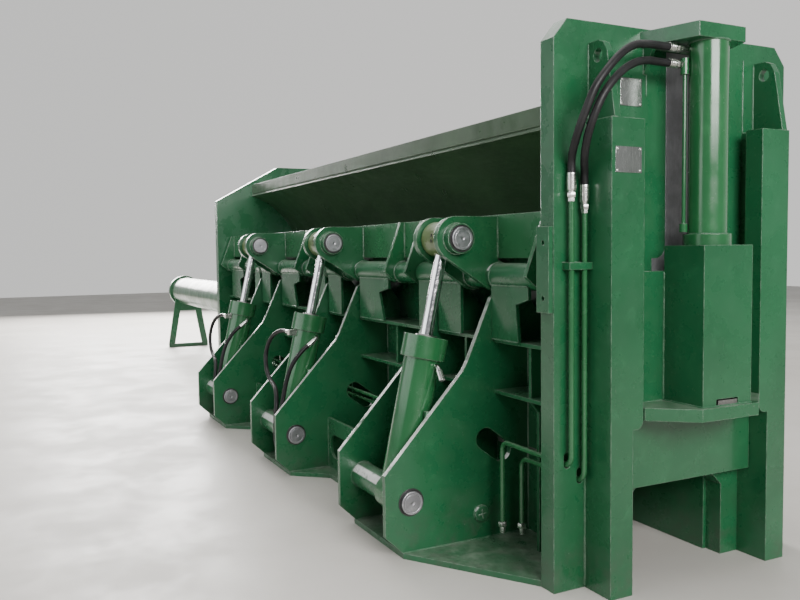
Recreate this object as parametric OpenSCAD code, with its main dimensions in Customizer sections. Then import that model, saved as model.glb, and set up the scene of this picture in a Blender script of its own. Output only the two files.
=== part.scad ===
// Scrap baling press: a 6 m chamber under a side-hinged lid, with a lifting gate at one end.
// X runs along the machine towards the gate, -Y is the cylinder side, Z is up, millimetres.
// Shapes are drawn from the front face and centre line of the gate portal, then shifted together.

/* [Chamber] */
// Length from the portal's front face to the rear plate's front face
chamber_len = 6250; // [5800:10:6800]
// Height of the chamber floor's top face
floor_z = 500; // [470:5:540]
// Inner face of the cylinder-side chamber wall
near_wall_y = -340; // [-360:1:-320]
// Thickness of the chamber wall on the cylinder side
wall_t = 40; // [20:1:50]
// Thickness of ribs, shelves and the curved liner
rib_t = 20; // [12:1:30]

/* [Portal] */
// Width of the portal plate
portal_w = 1500; // [1400:10:1600]
// Height of the portal plate
portal_h = 2636; // [2560:1:2700]
// Thickness of the portal plate
portal_t = 97; // [60:1:97]
// Distance from the portal's top down to the guide columns' top
column_drop = 456; // [336:1:636]
// Depth of the guide columns in front of the portal plate
column_d = 180; // [160:1:200]
// Distance from the centre line to a column's outer face
column_out = 570; // [540:1:600]

/* [Gate] */
// Travel of the gate
gate_lift = 700; // [500:10:720]
// Thickness of the gate plate
gate_t = 70; // [50:1:75]
// Diameter of the gate cylinder
gate_tube_d = 180; // [150:1:188]
// Diameter of the gate cylinder's rod
gate_rod_d = 90; // [60:1:100]

/* [Lid] */
// Height of the lid hinge
hinge_z = 1460; // [1440:1:1480]
// Sideways place of the lid hinge
hinge_y = -565; // [-580:1:-550]
// Diameter of the lid hinge shaft
shaft_d = 80; // [60:1:90]
// Radius of the curved chamber wall about the hinge
sweep_r = 835; // [810:1:850]
// Gap between the lid's nose and the curved wall
nose_gap = 10; // [4:1:20]
// Height of the lid above the hinge
lid_rise = 330; // [300:1:350]
// Thickness of the lid's plates
lid_t = 25; // [15:1:30]

/* [Lid cylinders] */
// Distance from one lid cylinder to the next
pair_pitch = 1800; // [1700:10:1900]
// Diameter of a lid cylinder
barrel_d = 200; // [170:1:205]
// Diameter of a lid cylinder's rod
rod_d = 68; // [50:1:80]
// Diameter of the cylinder pins
pin_d = 100; // [80:1:110]
// Thickness of the side cheeks
cheek_t = 30; // [20:1:35]
// Travel of a lid cylinder's rod as the lid opens
rod_travel = 320; // [300:1:330]

/* [Main ram] */
// Length of the main ram's cylinder
ram_barrel_len = 5200; // [4800:50:5400]
// Outside diameter of the main ram's cylinder
ram_barrel_d = 450; // [410:1:480]
// Diameter of the main ram's rod
ram_rod_d = 180; // [120:1:220]

/* [Hidden] */
$fn = 64;

green = [0.16, 0.42, 0.24];
steel = [0.62, 0.63, 0.64];
rubber = [0.08, 0.08, 0.08];
run_gap = 0.05;

column_h = portal_h - column_drop;
base_t = 30;
base_edge_y = -1170;
cheek_out_y = -1270;
back_y = portal_w / 2;
chamber_x0 = -chamber_len;
chamber_x1 = -portal_t;
far_wall_y = hinge_y + sweep_r;
web_t = 25;
wall_out = near_wall_y - wall_t;
near_web_y = wall_out;
far_web_y = far_wall_y + 55;
rear_t = 100;
shelf_front = 345;
ram_tail_x = chamber_x0 - rear_t - ram_barrel_len;
centre_x = (shelf_front + ram_tail_x) / 2;
centre_y = (cheek_out_y + back_y) / 2;

// Lid cylinders: the first is nearest the rear, the third nearest the portal.
cyl_x = [for (i = [0:2]) -885 - (2 - i) * pair_pitch];
base_pin = [-1121, 293];
top_pin = [-815, 1662];
pin_vector = top_pin - base_pin;
cyl_len = norm(pin_vector);
cyl_tilt = atan2(pin_vector[0], pin_vector[1]);
eye_w = 170;
eye_r = 95;
ear_gap = 196;
ear_t = 35;
ear_r = 120;
hub_r = 85;
cheek_front_x = 135;
cheek_rear_x = -445;
gland_r = barrel_d / 2 + 22;
gland_top = 865;
gland_h = 120;
bore_r = barrel_d / 2 - 25;
barrel_z = 80;
bore_z = 120;
piston_z = bore_z + rod_travel + 50;
open_bore_r = pin_d / 2 + 6;
pin_neck_r = 22;
pin_head_r = pin_d / 2 + 12;
ear_boss = 50;

lid_r = sweep_r - nose_gap;
lid_low = -20;
lid_x0 = chamber_x0 + 30;
lid_x1 = chamber_x1 - 30;
lid_back_y = hinge_y + 10;
lid_end_t = 20;
rim_y = -305;
rim_angle = acos((rim_y - hinge_y) / sweep_r);
rim_low_z = hinge_z + sweep_r * sin(rim_angle);
rim_top_z = 2384;
rim_t = 60;

gate_cyl_x = 190;
gate_back_x = 4;
gate_face_x = gate_back_x + gate_t;
gate_box_half = 155;
gate_box_x = 320;
gate_box_top = 1610;
gate_box_t = 12;
shelf_z = 868;
shelf_t = 60;
keeper_t = 26;
collar_top = 1662;
collar_z = min(shelf_z + keeper_t + gate_lift + 6, collar_top - 30);
collar_h = collar_top - collar_z;
collar_r = gate_tube_d / 2 + 20;
head_z = portal_h - 18;
head_t = 68;
gate_half = 436;
gate_low = 460;
gate_top = 1490;
exit_half_near = -330;
exit_top = 1150;

hose_d = 31;
gate_hose_d = 36;

module place() translate([-centre_x, -centre_y, 0]) children();

// A plate drawn in the cross-section plane (Y to the right, Z up), from x0 over a thickness t.
module plate_x(x0, t) translate([x0, 0, 0]) rotate([90, 0, 90]) linear_extrude(t) children();

// A block from its lowest corner to its highest.
module block(a, b) translate(a) cube(b - a);

module rod_x(x0, x1, y, z, r) translate([x0, y, z]) rotate([0, 90, 0]) cylinder(r = r, h = x1 - x0);

// Tangent points on the two circles' lower side, for the edge of an ear.
function lower_tangent(c1, r1, c2, r2) =
    let (d = c2 - c1, l = norm(d), a = atan2(d[1], d[0]), b = acos((r1 - r2) / l), n = a - b)
    [c1 + r1 * [cos(n), sin(n)], c2 + r2 * [cos(n), sin(n)]];

function arc(c, r, a0, a1, n) = [for (i = [0:n]) let (a = a0 + (a1 - a0) * i / n) c + r * [cos(a), sin(a)]];

// Smooth curve through chosen points (Catmull-Rom), several rings to a span.
function spline_point(p, i, t) =
    let (a = p[max(i - 1, 0)], b = p[i], c = p[i + 1], d = p[min(i + 2, len(p) - 1)])
    0.5 * (2 * b + (c - a) * t + (2 * a - 5 * b + 4 * c - d) * t * t
        + (3 * b - a - 3 * c + d) * t * t * t);
function spline(p, n) = [for (i = [0:len(p) - 2]) for (k = [0:n - 1]) spline_point(p, i, k / n),
    p[len(p) - 1]];
function unit(v) = v / norm(v);
function direction(q, i) = unit(q[min(i + 1, len(q) - 1)] - q[max(i - 1, 0)]);

// Tube swept along a route: each ring is carried on from the one before it, so the tube doesn't twist.
// Its first and last rings are square to the fittings (d0 and d1).
function carried(side, t) = unit(side - (side * t) * t);
function headings(q, d0, d1) = [for (i = [0:len(q) - 1])
    i == 0 ? d0 : i == len(q) - 1 ? d1 : direction(q, i)];
function sides(way, first) = [for (i = 0, s = carried(first, way[0]); i < len(way);
    i = i + 1, s = i < len(way) ? carried(s, way[i]) : s) s];
module swept_tube(route, d, per_span, d0, d1, first = [0.3, 0.2, 0.9]) {
    q = spline(route, per_span);
    way = headings(q, d0, d1);
    side = sides(way, first);
    facets = 10;
    pts = [for (i = [0:len(q) - 1]) let (t = way[i], s = side[i], u = cross(t, s))
        for (k = [0:facets - 1]) q[i] + d / 2 * (cos(360 * k / facets) * s + sin(360 * k / facets) * u)];
    walls = [for (i = [0:len(q) - 2]) for (k = [0:facets - 1]) let (m = (k + 1) % facets, a = i * facets)
        [a + k, a + facets + k, a + facets + m, a + m]];
    polyhedron(points = pts, faces = concat(walls, [[for (k = [0:facets - 1]) k]],
        [[for (k = [facets - 1:-1:0]) (len(q) - 1) * facets + k]]), convexity = 8);
}

// Base: two long plates with slanted feet under each cylinder, open between the webs.
module base_outline() {
    valley = -940;
    near = [for (i = [2:-1:0]) each [
        i == 2 ? [chamber_x1, -portal_w / 2] : [cyl_x[i] + 360, valley],
        [cyl_x[i] + cheek_front_x + cheek_t, base_edge_y],
        [cyl_x[i] + cheek_rear_x - cheek_t, base_edge_y], [cyl_x[i] - 670, valley]]];
    polygon(concat([[chamber_x1, near_web_y + web_t]], near,
        [[chamber_x0, -portal_w / 2], [chamber_x0, near_web_y + web_t]]));
}
module base_frame() place() color(green) {
    linear_extrude(base_t) base_outline();
    block([chamber_x0, far_web_y - web_t, 0], [chamber_x1, back_y, base_t]);
    web_top = floor_z - 30;
    block([chamber_x0, near_web_y, base_t], [chamber_x1, near_web_y + web_t, web_top]);
    block([chamber_x0, far_web_y - web_t, base_t], [chamber_x1, far_web_y, web_top]);
    for (i = [0:4])
        block([chamber_x0 + 300 + i * 1250, near_web_y + web_t, 120],
            [chamber_x0 + 360 + i * 1250, far_web_y - web_t, 260]);
}
module chamber_floor() place() color(green)
    block([chamber_x0, near_web_y, floor_z - 30], [chamber_x1, far_web_y, floor_z]);

// Portal plate with the bale exit, the arch below it, clipped top corners and the pipes' slots.
module portal() place() color(green) plate_x(-portal_t, portal_t) {
    half = portal_w / 2;
    difference() {
        polygon([[-half, 0], [-half, portal_h - 91], [-half + 75, portal_h], [half - 75, portal_h],
            [half, portal_h - 91], [half, 0]]);
        polygon([[-320, -1], [-320, 372], [-240, 446], [240, 446], [320, 372], [320, -1]]);
        translate([exit_half_near, floor_z])
            square([far_wall_y - 10 - exit_half_near, exit_top - floor_z]);
        for (k = [0, 1]) {
            translate([pipe_ys[k], pipe_turn_z[k]]) circle(r = 18);
            translate([pipe_ys[k], pipe_turn_z[k] + 40]) circle(r = 18);
            translate([pipe_ys[k] - 18, pipe_turn_z[k]]) square([36, 40]);
        }
    }
}
// Guide column: a box from the floor up, with an inner flange that keeps the gate in and
// ends in a rounded corner just under the shelf.
module guide_column() {
    inner = gate_half + 4;
    flange_in = 380;
    plate_x(0, column_d) translate([-column_out, 0]) square([column_out - inner, column_h]);
    flange_x = gate_face_x + 6;
    plate_x(flange_x, column_d - flange_x) difference() {
        translate([-inner, 770]) square([inner - flange_in, column_h - 770]);
        difference() {
            translate([-flange_in - 40, 769]) square([41, 41]);
            translate([-flange_in - 40, 810]) circle(r = 40);
        }
    }
}
module left_column() place() color(green) guide_column();
module right_column() place() color(green) mirror([0, 1, 0]) guide_column();

// Bare steel strip behind the gate cylinder: a narrow tongue on a wide foot with round shoulders.
module gate_wear_strip() place() color(steel) plate_x(0, gate_back_x - 1) {
    foot_z = gate_top + 60;
    strip_z = portal_h - 171;
    shoulder = 60;
    difference() {
        union() {
            translate([-165, gate_top - 90]) square([330, foot_z - gate_top + 90]);
            translate([-80, gate_top]) square([160, strip_z - gate_top]);
            for (m = [0, 1]) mirror([m, 0]) polygon(concat(
                [[70, foot_z - 10], [80 + shoulder, foot_z - 10]],
                arc([80 + shoulder, foot_z + shoulder], shoulder, 270, 180, 12), [[70, foot_z + shoulder]]));
            translate([0, strip_z]) intersection() {
                circle(r = 110);
                translate([-80, -110]) square([160, 200]);
            }
        }
        translate([-80, strip_z + 75]) square([160, 60]);
    }
}

// Crosshead: a thick plate that narrows forward over the gate cylinder, on two gussets.
module crosshead() place() color(green) {
    translate([0, 0, head_z - head_t]) linear_extrude(head_t)
        polygon([[0, -245], [272, -146], [272, 146], [0, 245]]);
    for (y = [-205, 225]) translate([0, y, 0]) rotate([90, 0, 0])
        linear_extrude(20) polygon([[0, head_z - head_t], [75, head_z - head_t], [0, head_z - head_t - 130]]);
    translate([gate_cyl_x, 0, head_z]) cylinder(r = 28, h = 10);
    translate([gate_cyl_x, 0, head_z + 10]) cylinder(r1 = 24, r2 = 14, h = 8);
}

// Lifting eyes stand on the columns, against the portal plate.
module lifting_eye() rotate([90, 0, 0]) linear_extrude(34) difference() {
    polygon([[0, column_h], [column_d, column_h], [128, portal_h - 160],
        [104, portal_h - 116], [70, portal_h - 100], [0, portal_h - 100]]);
    translate([66, portal_h - 168]) circle(r = 30);
}
module lifting_eyes() place() color(green) {
    translate([0, -column_out + 50, 0]) lifting_eye();
    translate([0, column_out - 16, 0]) lifting_eye();
}

// Rear end plate, with a long slope on the cylinder side and the main rod's hole.
module rear_plate() place() color(green) plate_x(chamber_x0 - rear_t, rear_t) difference() {
    polygon([[-portal_w / 2 + 30, 0], [-portal_w / 2 + 30, portal_h - 446], [0, portal_h - 46],
        [450, portal_h - 46], [back_y, portal_h - 336], [back_y, 0]]);
    translate([ram_axis[0], ram_axis[1]]) circle(r = ram_rod_d / 2 + 0.3);
}

module near_wall() place() color(green)
    block([chamber_x0, near_wall_y - wall_t, floor_z], [chamber_x1, near_wall_y, hinge_z - 35]);

// Bays between the cheeks, each as [rear end, front end].
cheek_faces = [for (i = [0:2]) [cyl_x[i] + cheek_rear_x - cheek_t, cyl_x[i] + cheek_rear_x,
    cyl_x[i] + cheek_front_x, cyl_x[i] + cheek_front_x + cheek_t]];
bays = concat([[chamber_x0, cheek_faces[0][0]]], [for (i = [0:2]) [cheek_faces[i][1], cheek_faces[i][2]]],
    [for (i = [0:1]) [cheek_faces[i][3], cheek_faces[i + 1][0]]], [[cheek_faces[2][3], chamber_x1]]);
shelf_z1 = 820;
shelf_z2 = 1100;
shelf_out_y = -600;
apron_top = hinge_z - 90;

// Shelves and upright ribs in every bay.
module wall_ribs() place() color(green) for (b = bays) {
    for (z = [shelf_z1, shelf_z2])
        block([b[0], shelf_out_y, z], [b[1], wall_out, z + rib_t]);
    count = max(1, round((b[1] - b[0]) / 550) - 1);
    for (k = [1:count]) {
        x = b[0] + (b[1] - b[0]) * k / (count + 1) - rib_t / 2;
        block([x, shelf_out_y + 10, shelf_z1 + rib_t], [x + rib_t, wall_out, shelf_z2]);
        plate_x(x, rib_t) polygon([[wall_out, base_t], [shelf_out_y + 60, base_t],
            [shelf_out_y + 60, shelf_z1 - 60], [shelf_out_y + 10, shelf_z1], [wall_out, shelf_z1]]);
    }
}
// The hinge line: fixed tubes and lid sleeves of one size take turns along the shaft, in every bay
// behind a cylinder and in the last one. Gussets a and b stand at the ends of the bay's lid sleeve.
hinge_r = 70;
gusset_t = 25;
line_gap = 5;
hinge_bays = [[lid_x0 + 145, cheek_faces[0][0]], for (i = [0, 1]) [cheek_faces[i][3], cheek_faces[i + 1][0]]];
gusset_a = [for (b = hinge_bays) round(b[0] + 0.5345 * (b[1] - b[0]))];
gusset_b = [for (b = hinge_bays) round(b[0] + 0.7931 * (b[1] - b[0]))];
gusset_end = round(cheek_faces[2][3] + 0.674 * (chamber_x1 - cheek_faces[2][3]));
// Fixed tubes: rear end, front end, then the bracket's rear edge, its front edge at the foot and at
// the top, and its wing's end, as parts of the tube's length.
tube_spans = concat(
    [for (k = [0:2]) [hinge_bays[k][0], gusset_a[k] - line_gap, 0.057, 0.707, 0.593, 0.837]],
    [for (k = [0:2]) [gusset_b[k] + gusset_t + 8, hinge_bays[k][1], 0.06, 0.88, 0.88, 0.88]],
    [for (x = cyl_x) [x + cheek_rear_x, x - ear_gap / 2 - ear_t - line_gap, 0.08, 0.93, 0.93, 0.93]],
    [[cheek_faces[2][3], gusset_end - line_gap, 0, 0.605, 0.552, 0.817]]);
module hinge_bearings() place() color(green) for (s = tube_spans) difference() {
    x = [for (f = [s[2], s[3], s[4], s[5]]) s[0] + f * (s[1] - s[0])];
    foot = shelf_z2 + rib_t;
    seat = hinge_z - 50;
    wing = hinge_z - 115;
    union() {
        rod_x(s[0], s[1], hinge_y, hinge_z, hinge_r);
        translate([0, shelf_out_y, 0]) rotate([90, 0, 0]) linear_extrude(rib_t)
            polygon([[x[0], foot], [x[1], foot], [x[2], wing - 30], [x[3], wing], [x[3], seat],
                [x[0], seat]]);
        plate_x((x[0] + x[2] - rib_t) / 2, rib_t) polygon([[wall_out, foot], [shelf_out_y, foot],
            [shelf_out_y, seat], [hinge_y, hinge_z], [hinge_y + 50, seat], [wall_out, foot + 120]]);
    }
    rod_x(s[0] - 1, s[1] + 1, hinge_y, hinge_z, shaft_d / 2 + run_gap);
}
// Skirt plates between the cylinders, each with a window, on the base's outer edge.
module skirts() place() color(green) for (i = [0:1]) {
    x0 = cyl_x[i] + cheek_front_x + cheek_t;
    x1 = cyl_x[i + 1] + cheek_rear_x - cheek_t;
    difference() {
        block([x0, -872, base_t], [x1, -852, 395]);
        block([x0 + 120, -873, 115], [x0 + 540, -851, 285]);
        for (x = [x0 + 120, x0 + 540]) translate([x, -851, 200]) rotate([90, 0, 0]) cylinder(r = 85, h = 22);
    }
}

// Curved chamber wall: an arc about the hinge, so the lid's nose sweeps along it.
module back_liner() place() color(green) plate_x(chamber_x0, chamber_len - portal_t) {
    hinge = [hinge_y, hinge_z];
    polygon(concat([[far_wall_y, floor_z], [far_wall_y + web_t, floor_z]],
        arc(hinge, sweep_r + web_t, 0, rim_angle, 30), arc(hinge, sweep_r, rim_angle, 0, 30)));
}
module back_ribs() place() color(green) {
    hinge = [hinge_y, hinge_z];
    liner_out = sweep_r + web_t;
    rib_n = 7;
    span = chamber_len - portal_t - rib_t;
    for (k = [0:rib_n - 1])
        plate_x(chamber_x0 + span * k / (rib_n - 1), rib_t) difference() {
            polygon(concat([[far_web_y, base_t], [back_y - 20, base_t], [back_y - 20, 1500],
                [600, 2150], [420, rim_top_z - rib_t], [-240, rim_top_z - rib_t]],
                arc(hinge, liner_out, rim_angle, 0, 30),
                [[far_wall_y + web_t, floor_z], [far_web_y, floor_z]]));
            translate([rim_y, rim_low_z - 60]) square([rim_t, rim_top_z - rim_low_z + 60]);
        }
    for (k = [0:rib_n - 2]) {
        a = chamber_x0 + span * k / (rib_n - 1) + rib_t;
        b = chamber_x0 + span * (k + 1) / (rib_n - 1);
        block([a, back_y - 90, 700], [b, back_y - 20, 700 + rib_t]);
        block([a, back_y - 90, 1300], [b, back_y - 20, 1300 + rib_t]);
        block([a, 470, 1900], [b, 600, 1900 + rib_t]);
    }
}
// Flat top plate and the thick rim bar at the loading mouth's edge.
module hood_rim() place() color(green) {
    block([chamber_x0, rim_y + rim_t, rim_top_z - rib_t], [chamber_x1, 420, rim_top_z]);
    plate_x(chamber_x0, chamber_len - portal_t) difference() {
        translate([rim_y, rim_low_z]) square([rim_t, rim_top_z - rim_low_z]);
        translate([hinge_y, hinge_z]) circle(r = sweep_r + web_t, $fn = 180);
    }
}

// Side cheeks: two to a cylinder, with the hinge boss, the pin hole and the slot for the pipes.
module cheek_outline() {
    difference() {
        union() {
            polygon([[wall_out, base_t], [base_edge_y, base_t], [cheek_out_y, 126], [cheek_out_y, 447],
                [-800, 957], [-770, 1010], [hinge_y - 56, 1343], [hinge_y - 11, 1366],
                [hinge_y - 11, hinge_z], [hinge_y + hinge_r, hinge_z], [hinge_y + hinge_r, 1340],
                [wall_out, 1300]]);
            translate([hinge_y, hinge_z]) circle(r = hinge_r);
        }
        translate([hinge_y, hinge_z]) circle(r = shaft_d / 2 + run_gap);
        translate(base_pin) circle(r = pin_d / 2 + run_gap);
        translate([-660, 575]) circle(r = 60);
        translate([-560, 500]) circle(r = 60);
        polygon([[-624, 623], [-524, 548], [-596, 452], [-696, 527]]);
    }
}
module cheeks() place() color(green) for (i = [0:2]) {
    f = cheek_faces[i];
    plate_x(f[0], cheek_t) cheek_outline();
    plate_x(f[2], cheek_t) cheek_outline();
    difference() {
        rod_x(f[1], cyl_x[i] - eye_w / 2 - 8, base_pin[0], base_pin[1], pin_d / 2 + 26);
        rod_x(f[1] - 1, cyl_x[i], base_pin[0], base_pin[1], pin_d / 2 + run_gap);
    }
    rod_x(f[3], f[3] + 14, -694, 169, 44);
    block([f[2] - 24, -1012, 720], [f[2], -990, 752]);
}
module hinge_shaft() place() color(steel)
    rod_x(lid_x0 - 20, chamber_x1, hinge_y, hinge_z, shaft_d / 2);

// Keeper bar on the portal's edge, at the end of the hinge shaft.
module shaft_end_block() place() color(green) difference() {
    block([-portal_t, -portal_w / 2 - 25, 1308], [-5, -portal_w / 2, 1704]);
    for (z = [1374, 1629]) translate([-portal_t / 2, -portal_w / 2, z]) rotate([90, 0, 0])
        translate([0, 0, -1]) cylinder(r = 11, h = 30);
}
module lower_pins() place() color(steel) for (i = [0:2]) {
    f = cheek_faces[i];
    rod_x(f[0] - 15, f[3] + 1, base_pin[0], base_pin[1], pin_d / 2);
    rod_x(f[3], f[3] + 20, base_pin[0], base_pin[1], pin_head_r);
}

// Gate cylinder: fixed under the crosshead, its collar goes down into the gate's box.
module gate_barrel() place() color(green) difference() {
    union() {
        translate([gate_cyl_x, 0, collar_z]) cylinder(r = collar_r, h = collar_h);
        translate([gate_cyl_x, 0, collar_z]) cylinder(r = gate_tube_d / 2, h = head_z - head_t - collar_z);
    }
    translate([gate_cyl_x, 0, collar_z - 1]) cylinder(r = gate_rod_d / 2 + run_gap, h = 200);
    translate([gate_cyl_x, 0, collar_z + collar_h]) cylinder(r = gate_tube_d / 2 - 20,
        h = min(gate_lift + 170, head_z - head_t - 12 - collar_z - collar_h));
}
pipe_turn = 243;
pipe_r = gate_tube_d / 2 + 22;
pipe_xy = [gate_cyl_x + pipe_r * cos(pipe_turn), pipe_r * sin(pipe_turn)];
module gate_pipe() place() color(green) {
    difference() {
        union() {
            translate([pipe_xy[0], pipe_xy[1], 1700]) cylinder(r = 9, h = portal_h - 1916);
            translate([pipe_xy[0], pipe_xy[1], 1672]) cylinder(r = 19, h = 40);
            translate([pipe_xy[0], pipe_xy[1], portal_h - 231]) cylinder(r = 19, h = 75);
        }
        translate([gate_cyl_x, 0, 1600]) cylinder(r = gate_tube_d / 2, h = portal_h - 1636);
    }
}

// Rigid pipes from the hoses down the portal, through it and down inside the front bay.
pipe_ys = [-675, -601];
pipe_top = [portal_h - 808, portal_h - 861];
pipe_turn_z = [600, 520];
pipe_in_x = [-537, -467];
pipe_end_z = 175;
bend_r = 50;
module bend(r, rp, angle) rotate_extrude(angle = angle) translate([r, 0]) circle(r = rp, $fn = 24);
module portal_pipe(y, top, z, xin) {
    rp = 13;
    xo = 33;
    translate([xo, y, z + bend_r]) cylinder(r = rp, h = top - z - bend_r, $fn = 24);
    translate([xo - bend_r, y, z + bend_r]) rotate([90, 0, 0]) rotate([0, 0, -90]) bend(bend_r, rp, 90);
    translate([xin + bend_r, y, z]) rotate([0, 90, 0])
        cylinder(r = rp, h = xo - bend_r - xin - bend_r, $fn = 24);
    translate([xin + bend_r, y, z - bend_r]) rotate([90, 0, 0]) rotate([0, 0, 90]) bend(bend_r, rp, 90);
    translate([xin, y, pipe_end_z]) cylinder(r = rp, h = z - bend_r - pipe_end_z, $fn = 24);
}
module portal_pipes() place() color(green)
    for (k = [0, 1]) portal_pipe(pipe_ys[k], pipe_top[k], pipe_turn_z[k], pipe_in_x[k]);
module pipe_clamps() place() color(green) {
    difference() {
        block([0, -700, 1505], [52, -column_out, 1539]);
        for (y = pipe_ys) translate([33, y, 1504]) cylinder(r = 13, h = 40, $fn = 24);
    }
    for (i = [0:1]) {
        x = (cyl_x[i] + cheek_front_x + cyl_x[i + 1] + cheek_rear_x + rib_t) / 2;
        difference() {
            block([x, shelf_out_y - 60, feed_z[1] - 34], [x + 30, shelf_out_y + 120, feed_z[0] + 30]);
            for (k = [0, 1]) rod_x(x - 1, x + 31, feed_y[k], feed_z[k], 13);
        }
    }
}
// Bright fittings: hose ends on the portal and at the crosshead, and the open pipe ends.
gate_port_y = -91;
gate_port_z = [portal_h - 110, portal_h - 184];
gate_port_x = 135;
ferrule_r = 21;
module pipe_fittings() place() color(steel) {
    for (k = [0, 1]) {
        translate([33, pipe_ys[k], pipe_top[k]]) cylinder(r = ferrule_r, h = 116);
        translate([pipe_in_x[k], pipe_ys[k], pipe_end_z - 26]) cylinder(r = 21, h = 26);
        translate([pipe_in_x[k], pipe_ys[k], pipe_end_z - 60]) cylinder(r = 15, h = 34);
        translate([gate_port_x, gate_port_y - 106, gate_port_z[k]]) rotate([-90, 0, 0])
            cylinder(r = ferrule_r, h = 74);
        difference() {
            translate([gate_port_x, gate_port_y - 32, gate_port_z[k]]) rotate([-90, 0, 0])
                cylinder(r = 13, h = 66);
            translate([gate_cyl_x, 0, portal_h - 336]) cylinder(r = gate_tube_d / 2, h = 300);
            translate([pipe_xy[0], pipe_xy[1], portal_h - 336]) cylinder(r = 19, h = 180);
        }
    }
}
// Two feed pipes through the cheeks' slots along the chamber side.
feed_y = [-640, -585];
feed_z = [575, 505];
feed_x0 = cyl_x[0] + cheek_rear_x - 200;
feed_x1 = cyl_x[2] - 150;
module feed_pipes() place() color(green)
    for (k = [0, 1]) rod_x(feed_x0, feed_x1, feed_y[k], feed_z[k], 13);

// Blank plates on the left column and above it, each with four screws.
module blank_plate(w, h) difference() {
    translate([0, -w / 2, -h / 2]) cube([3, w, h]);
    for (a = [-1, 1], b = [-1, 1]) translate([-1, a * (w / 2 - 10), b * (h / 2 - 10)]) rotate([0, 90, 0])
        cylinder(r = 3, h = 5, $fn = 24);
}
module blank_plates() place() color(steel) {
    translate([column_d, -475, column_h - 186]) blank_plate(150, 115);
    translate([0, -300, portal_h - 301]) blank_plate(130, 130);
}

// Manifold blocks on the base, where the lid cylinders' hoses end.
module hose_blocks() place() color(steel) for (i = [0:1]) {
    block([cyl_x[i] + 30, -1030, base_t], [cyl_x[i] + cheek_front_x, -950, base_t + 110]);
    for (dx = hose_end_dx) translate([cyl_x[i] + dx, -1030, 110]) rotate([90, 0, 0])
        cylinder(r = 19, h = 58);
}

// Main cylinder behind the rear plate, with its flange, end cap and stand.
ram_axis = [(near_wall_y + far_wall_y) / 2, (floor_z + hinge_z - 50) / 2];
ram_wall = 45;
module ram_barrel() place() color(green) difference() {
    x1 = chamber_x0 - rear_t;
    union() {
        rod_x(ram_tail_x, x1, ram_axis[0], ram_axis[1], ram_barrel_d / 2);
        rod_x(x1 - 90, x1, ram_axis[0], ram_axis[1], ram_barrel_d / 2 + 75);
        rod_x(ram_tail_x + 60, ram_tail_x + 150, ram_axis[0], ram_axis[1], ram_barrel_d / 2 + 35);
    }
    rod_x(ram_tail_x + 150, x1 - 120, ram_axis[0], ram_axis[1], ram_barrel_d / 2 - ram_wall);
    rod_x(x1 - 130, x1 + 1, ram_axis[0], ram_axis[1], ram_rod_d / 2 + run_gap);
    for (a = [0:30:330])
        translate([x1 - 91, ram_axis[0] + (ram_barrel_d / 2 + 40) * cos(a),
            ram_axis[1] + (ram_barrel_d / 2 + 40) * sin(a)]) rotate([0, 90, 0]) cylinder(r = 13, h = 92);
}
module tail_stand() place() color(green) {
    x = ram_tail_x + 300;
    plate_x(x, 40) difference() {
        polygon([[ram_axis[0] - 330, 0], [ram_axis[0] - 330, 60], [ram_axis[0] - 190, ram_axis[1] - 60],
            [ram_axis[0] + 190, ram_axis[1] - 60], [ram_axis[0] + 330, 60], [ram_axis[0] + 330, 0]]);
        translate(ram_axis) circle(r = ram_barrel_d / 2);
        polygon([[ram_axis[0] - 230, 60], [ram_axis[0] - 130, ram_axis[1] - 330],
            [ram_axis[0] + 130, ram_axis[1] - 330], [ram_axis[0] + 230, 60]]);
    }
}

// Hose routes, chosen by hand. The gate hoses hang from the portal's top.
function lifted(route, z) = [for (p = route) p + [0, 0, z]];
upper_route = lifted([[135, -197, -110], [135, -262, -110], [150, -344, -116], [180, -440, -136],
    [202, -530, -181], [208, -610, -251], [200, -675, -336], [172, -705, -431], [130, -712, -516],
    [80, -700, -586], [40, -680, -638], [33, -675, -692]], portal_h);
lower_route = lifted([[135, -197, -184], [135, -262, -184], [150, -343, -189], [180, -445, -216],
    [204, -545, -270], [207, -630, -356], [190, -670, -446], [152, -678, -536], [100, -655, -618],
    [46, -612, -688], [33, -601, -745]], portal_h);
module gate_hose_upper() place() color(rubber)
    swept_tube(upper_route, gate_hose_d, 4, [0, -1, 0], [0, 0, -1]);
module gate_hose_lower() place() color(rubber)
    swept_tube(lower_route, gate_hose_d, 4, [0, -1, 0], [0, 0, -1]);
// The lid cylinder hoses' routes start at x = 0 on the cylinder's centre plane.
hose_end_dx = [60, 110];
hose_a = [[-60, -1096, 1018], [-130, -1096, 1018], [-215, -1112, 1005], [-310, -1132, 960],
    [-378, -1148, 885], [-396, -1160, 800], [-350, -1170, 712], [-245, -1180, 652], [-120, -1190, 622],
    [-20, -1205, 590], [42, -1222, 520], [60, -1236, 430], [60, -1240, 340], [60, -1240, 250],
    [60, -1228, 190], [60, -1202, 148], [60, -1160, 119], [60, -1120, 110], [60, -1089.5, 110]];
hose_b = [[140, -1010, 925], [140, -1046, 898], [134, -1096, 842], [123, -1138, 768],
    [114, -1166, 680], [110, -1186, 590], [110, -1206, 490], [110, -1222, 400], [110, -1232, 315],
    [110, -1234, 240], [110, -1222, 186], [110, -1194, 143], [110, -1156, 118], [110, -1120, 110],
    [110, -1089.5, 110]];
function shifted(route, x) = [for (p = route) p + [x, 0, 0]];
module hose_1a() place() color(rubber)
    swept_tube(shifted(hose_a, cyl_x[0]), hose_d, 4, [-1, 0, 0], [0, 1, 0]);
module hose_1b() place() color(rubber)
    swept_tube(shifted(hose_b, cyl_x[0]), hose_d, 4, [0, -0.8, -0.6], [0, 1, 0]);
module hose_2a() place() color(rubber)
    swept_tube(shifted(hose_a, cyl_x[1]), hose_d, 4, [-1, 0, 0], [0, 1, 0]);
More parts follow.
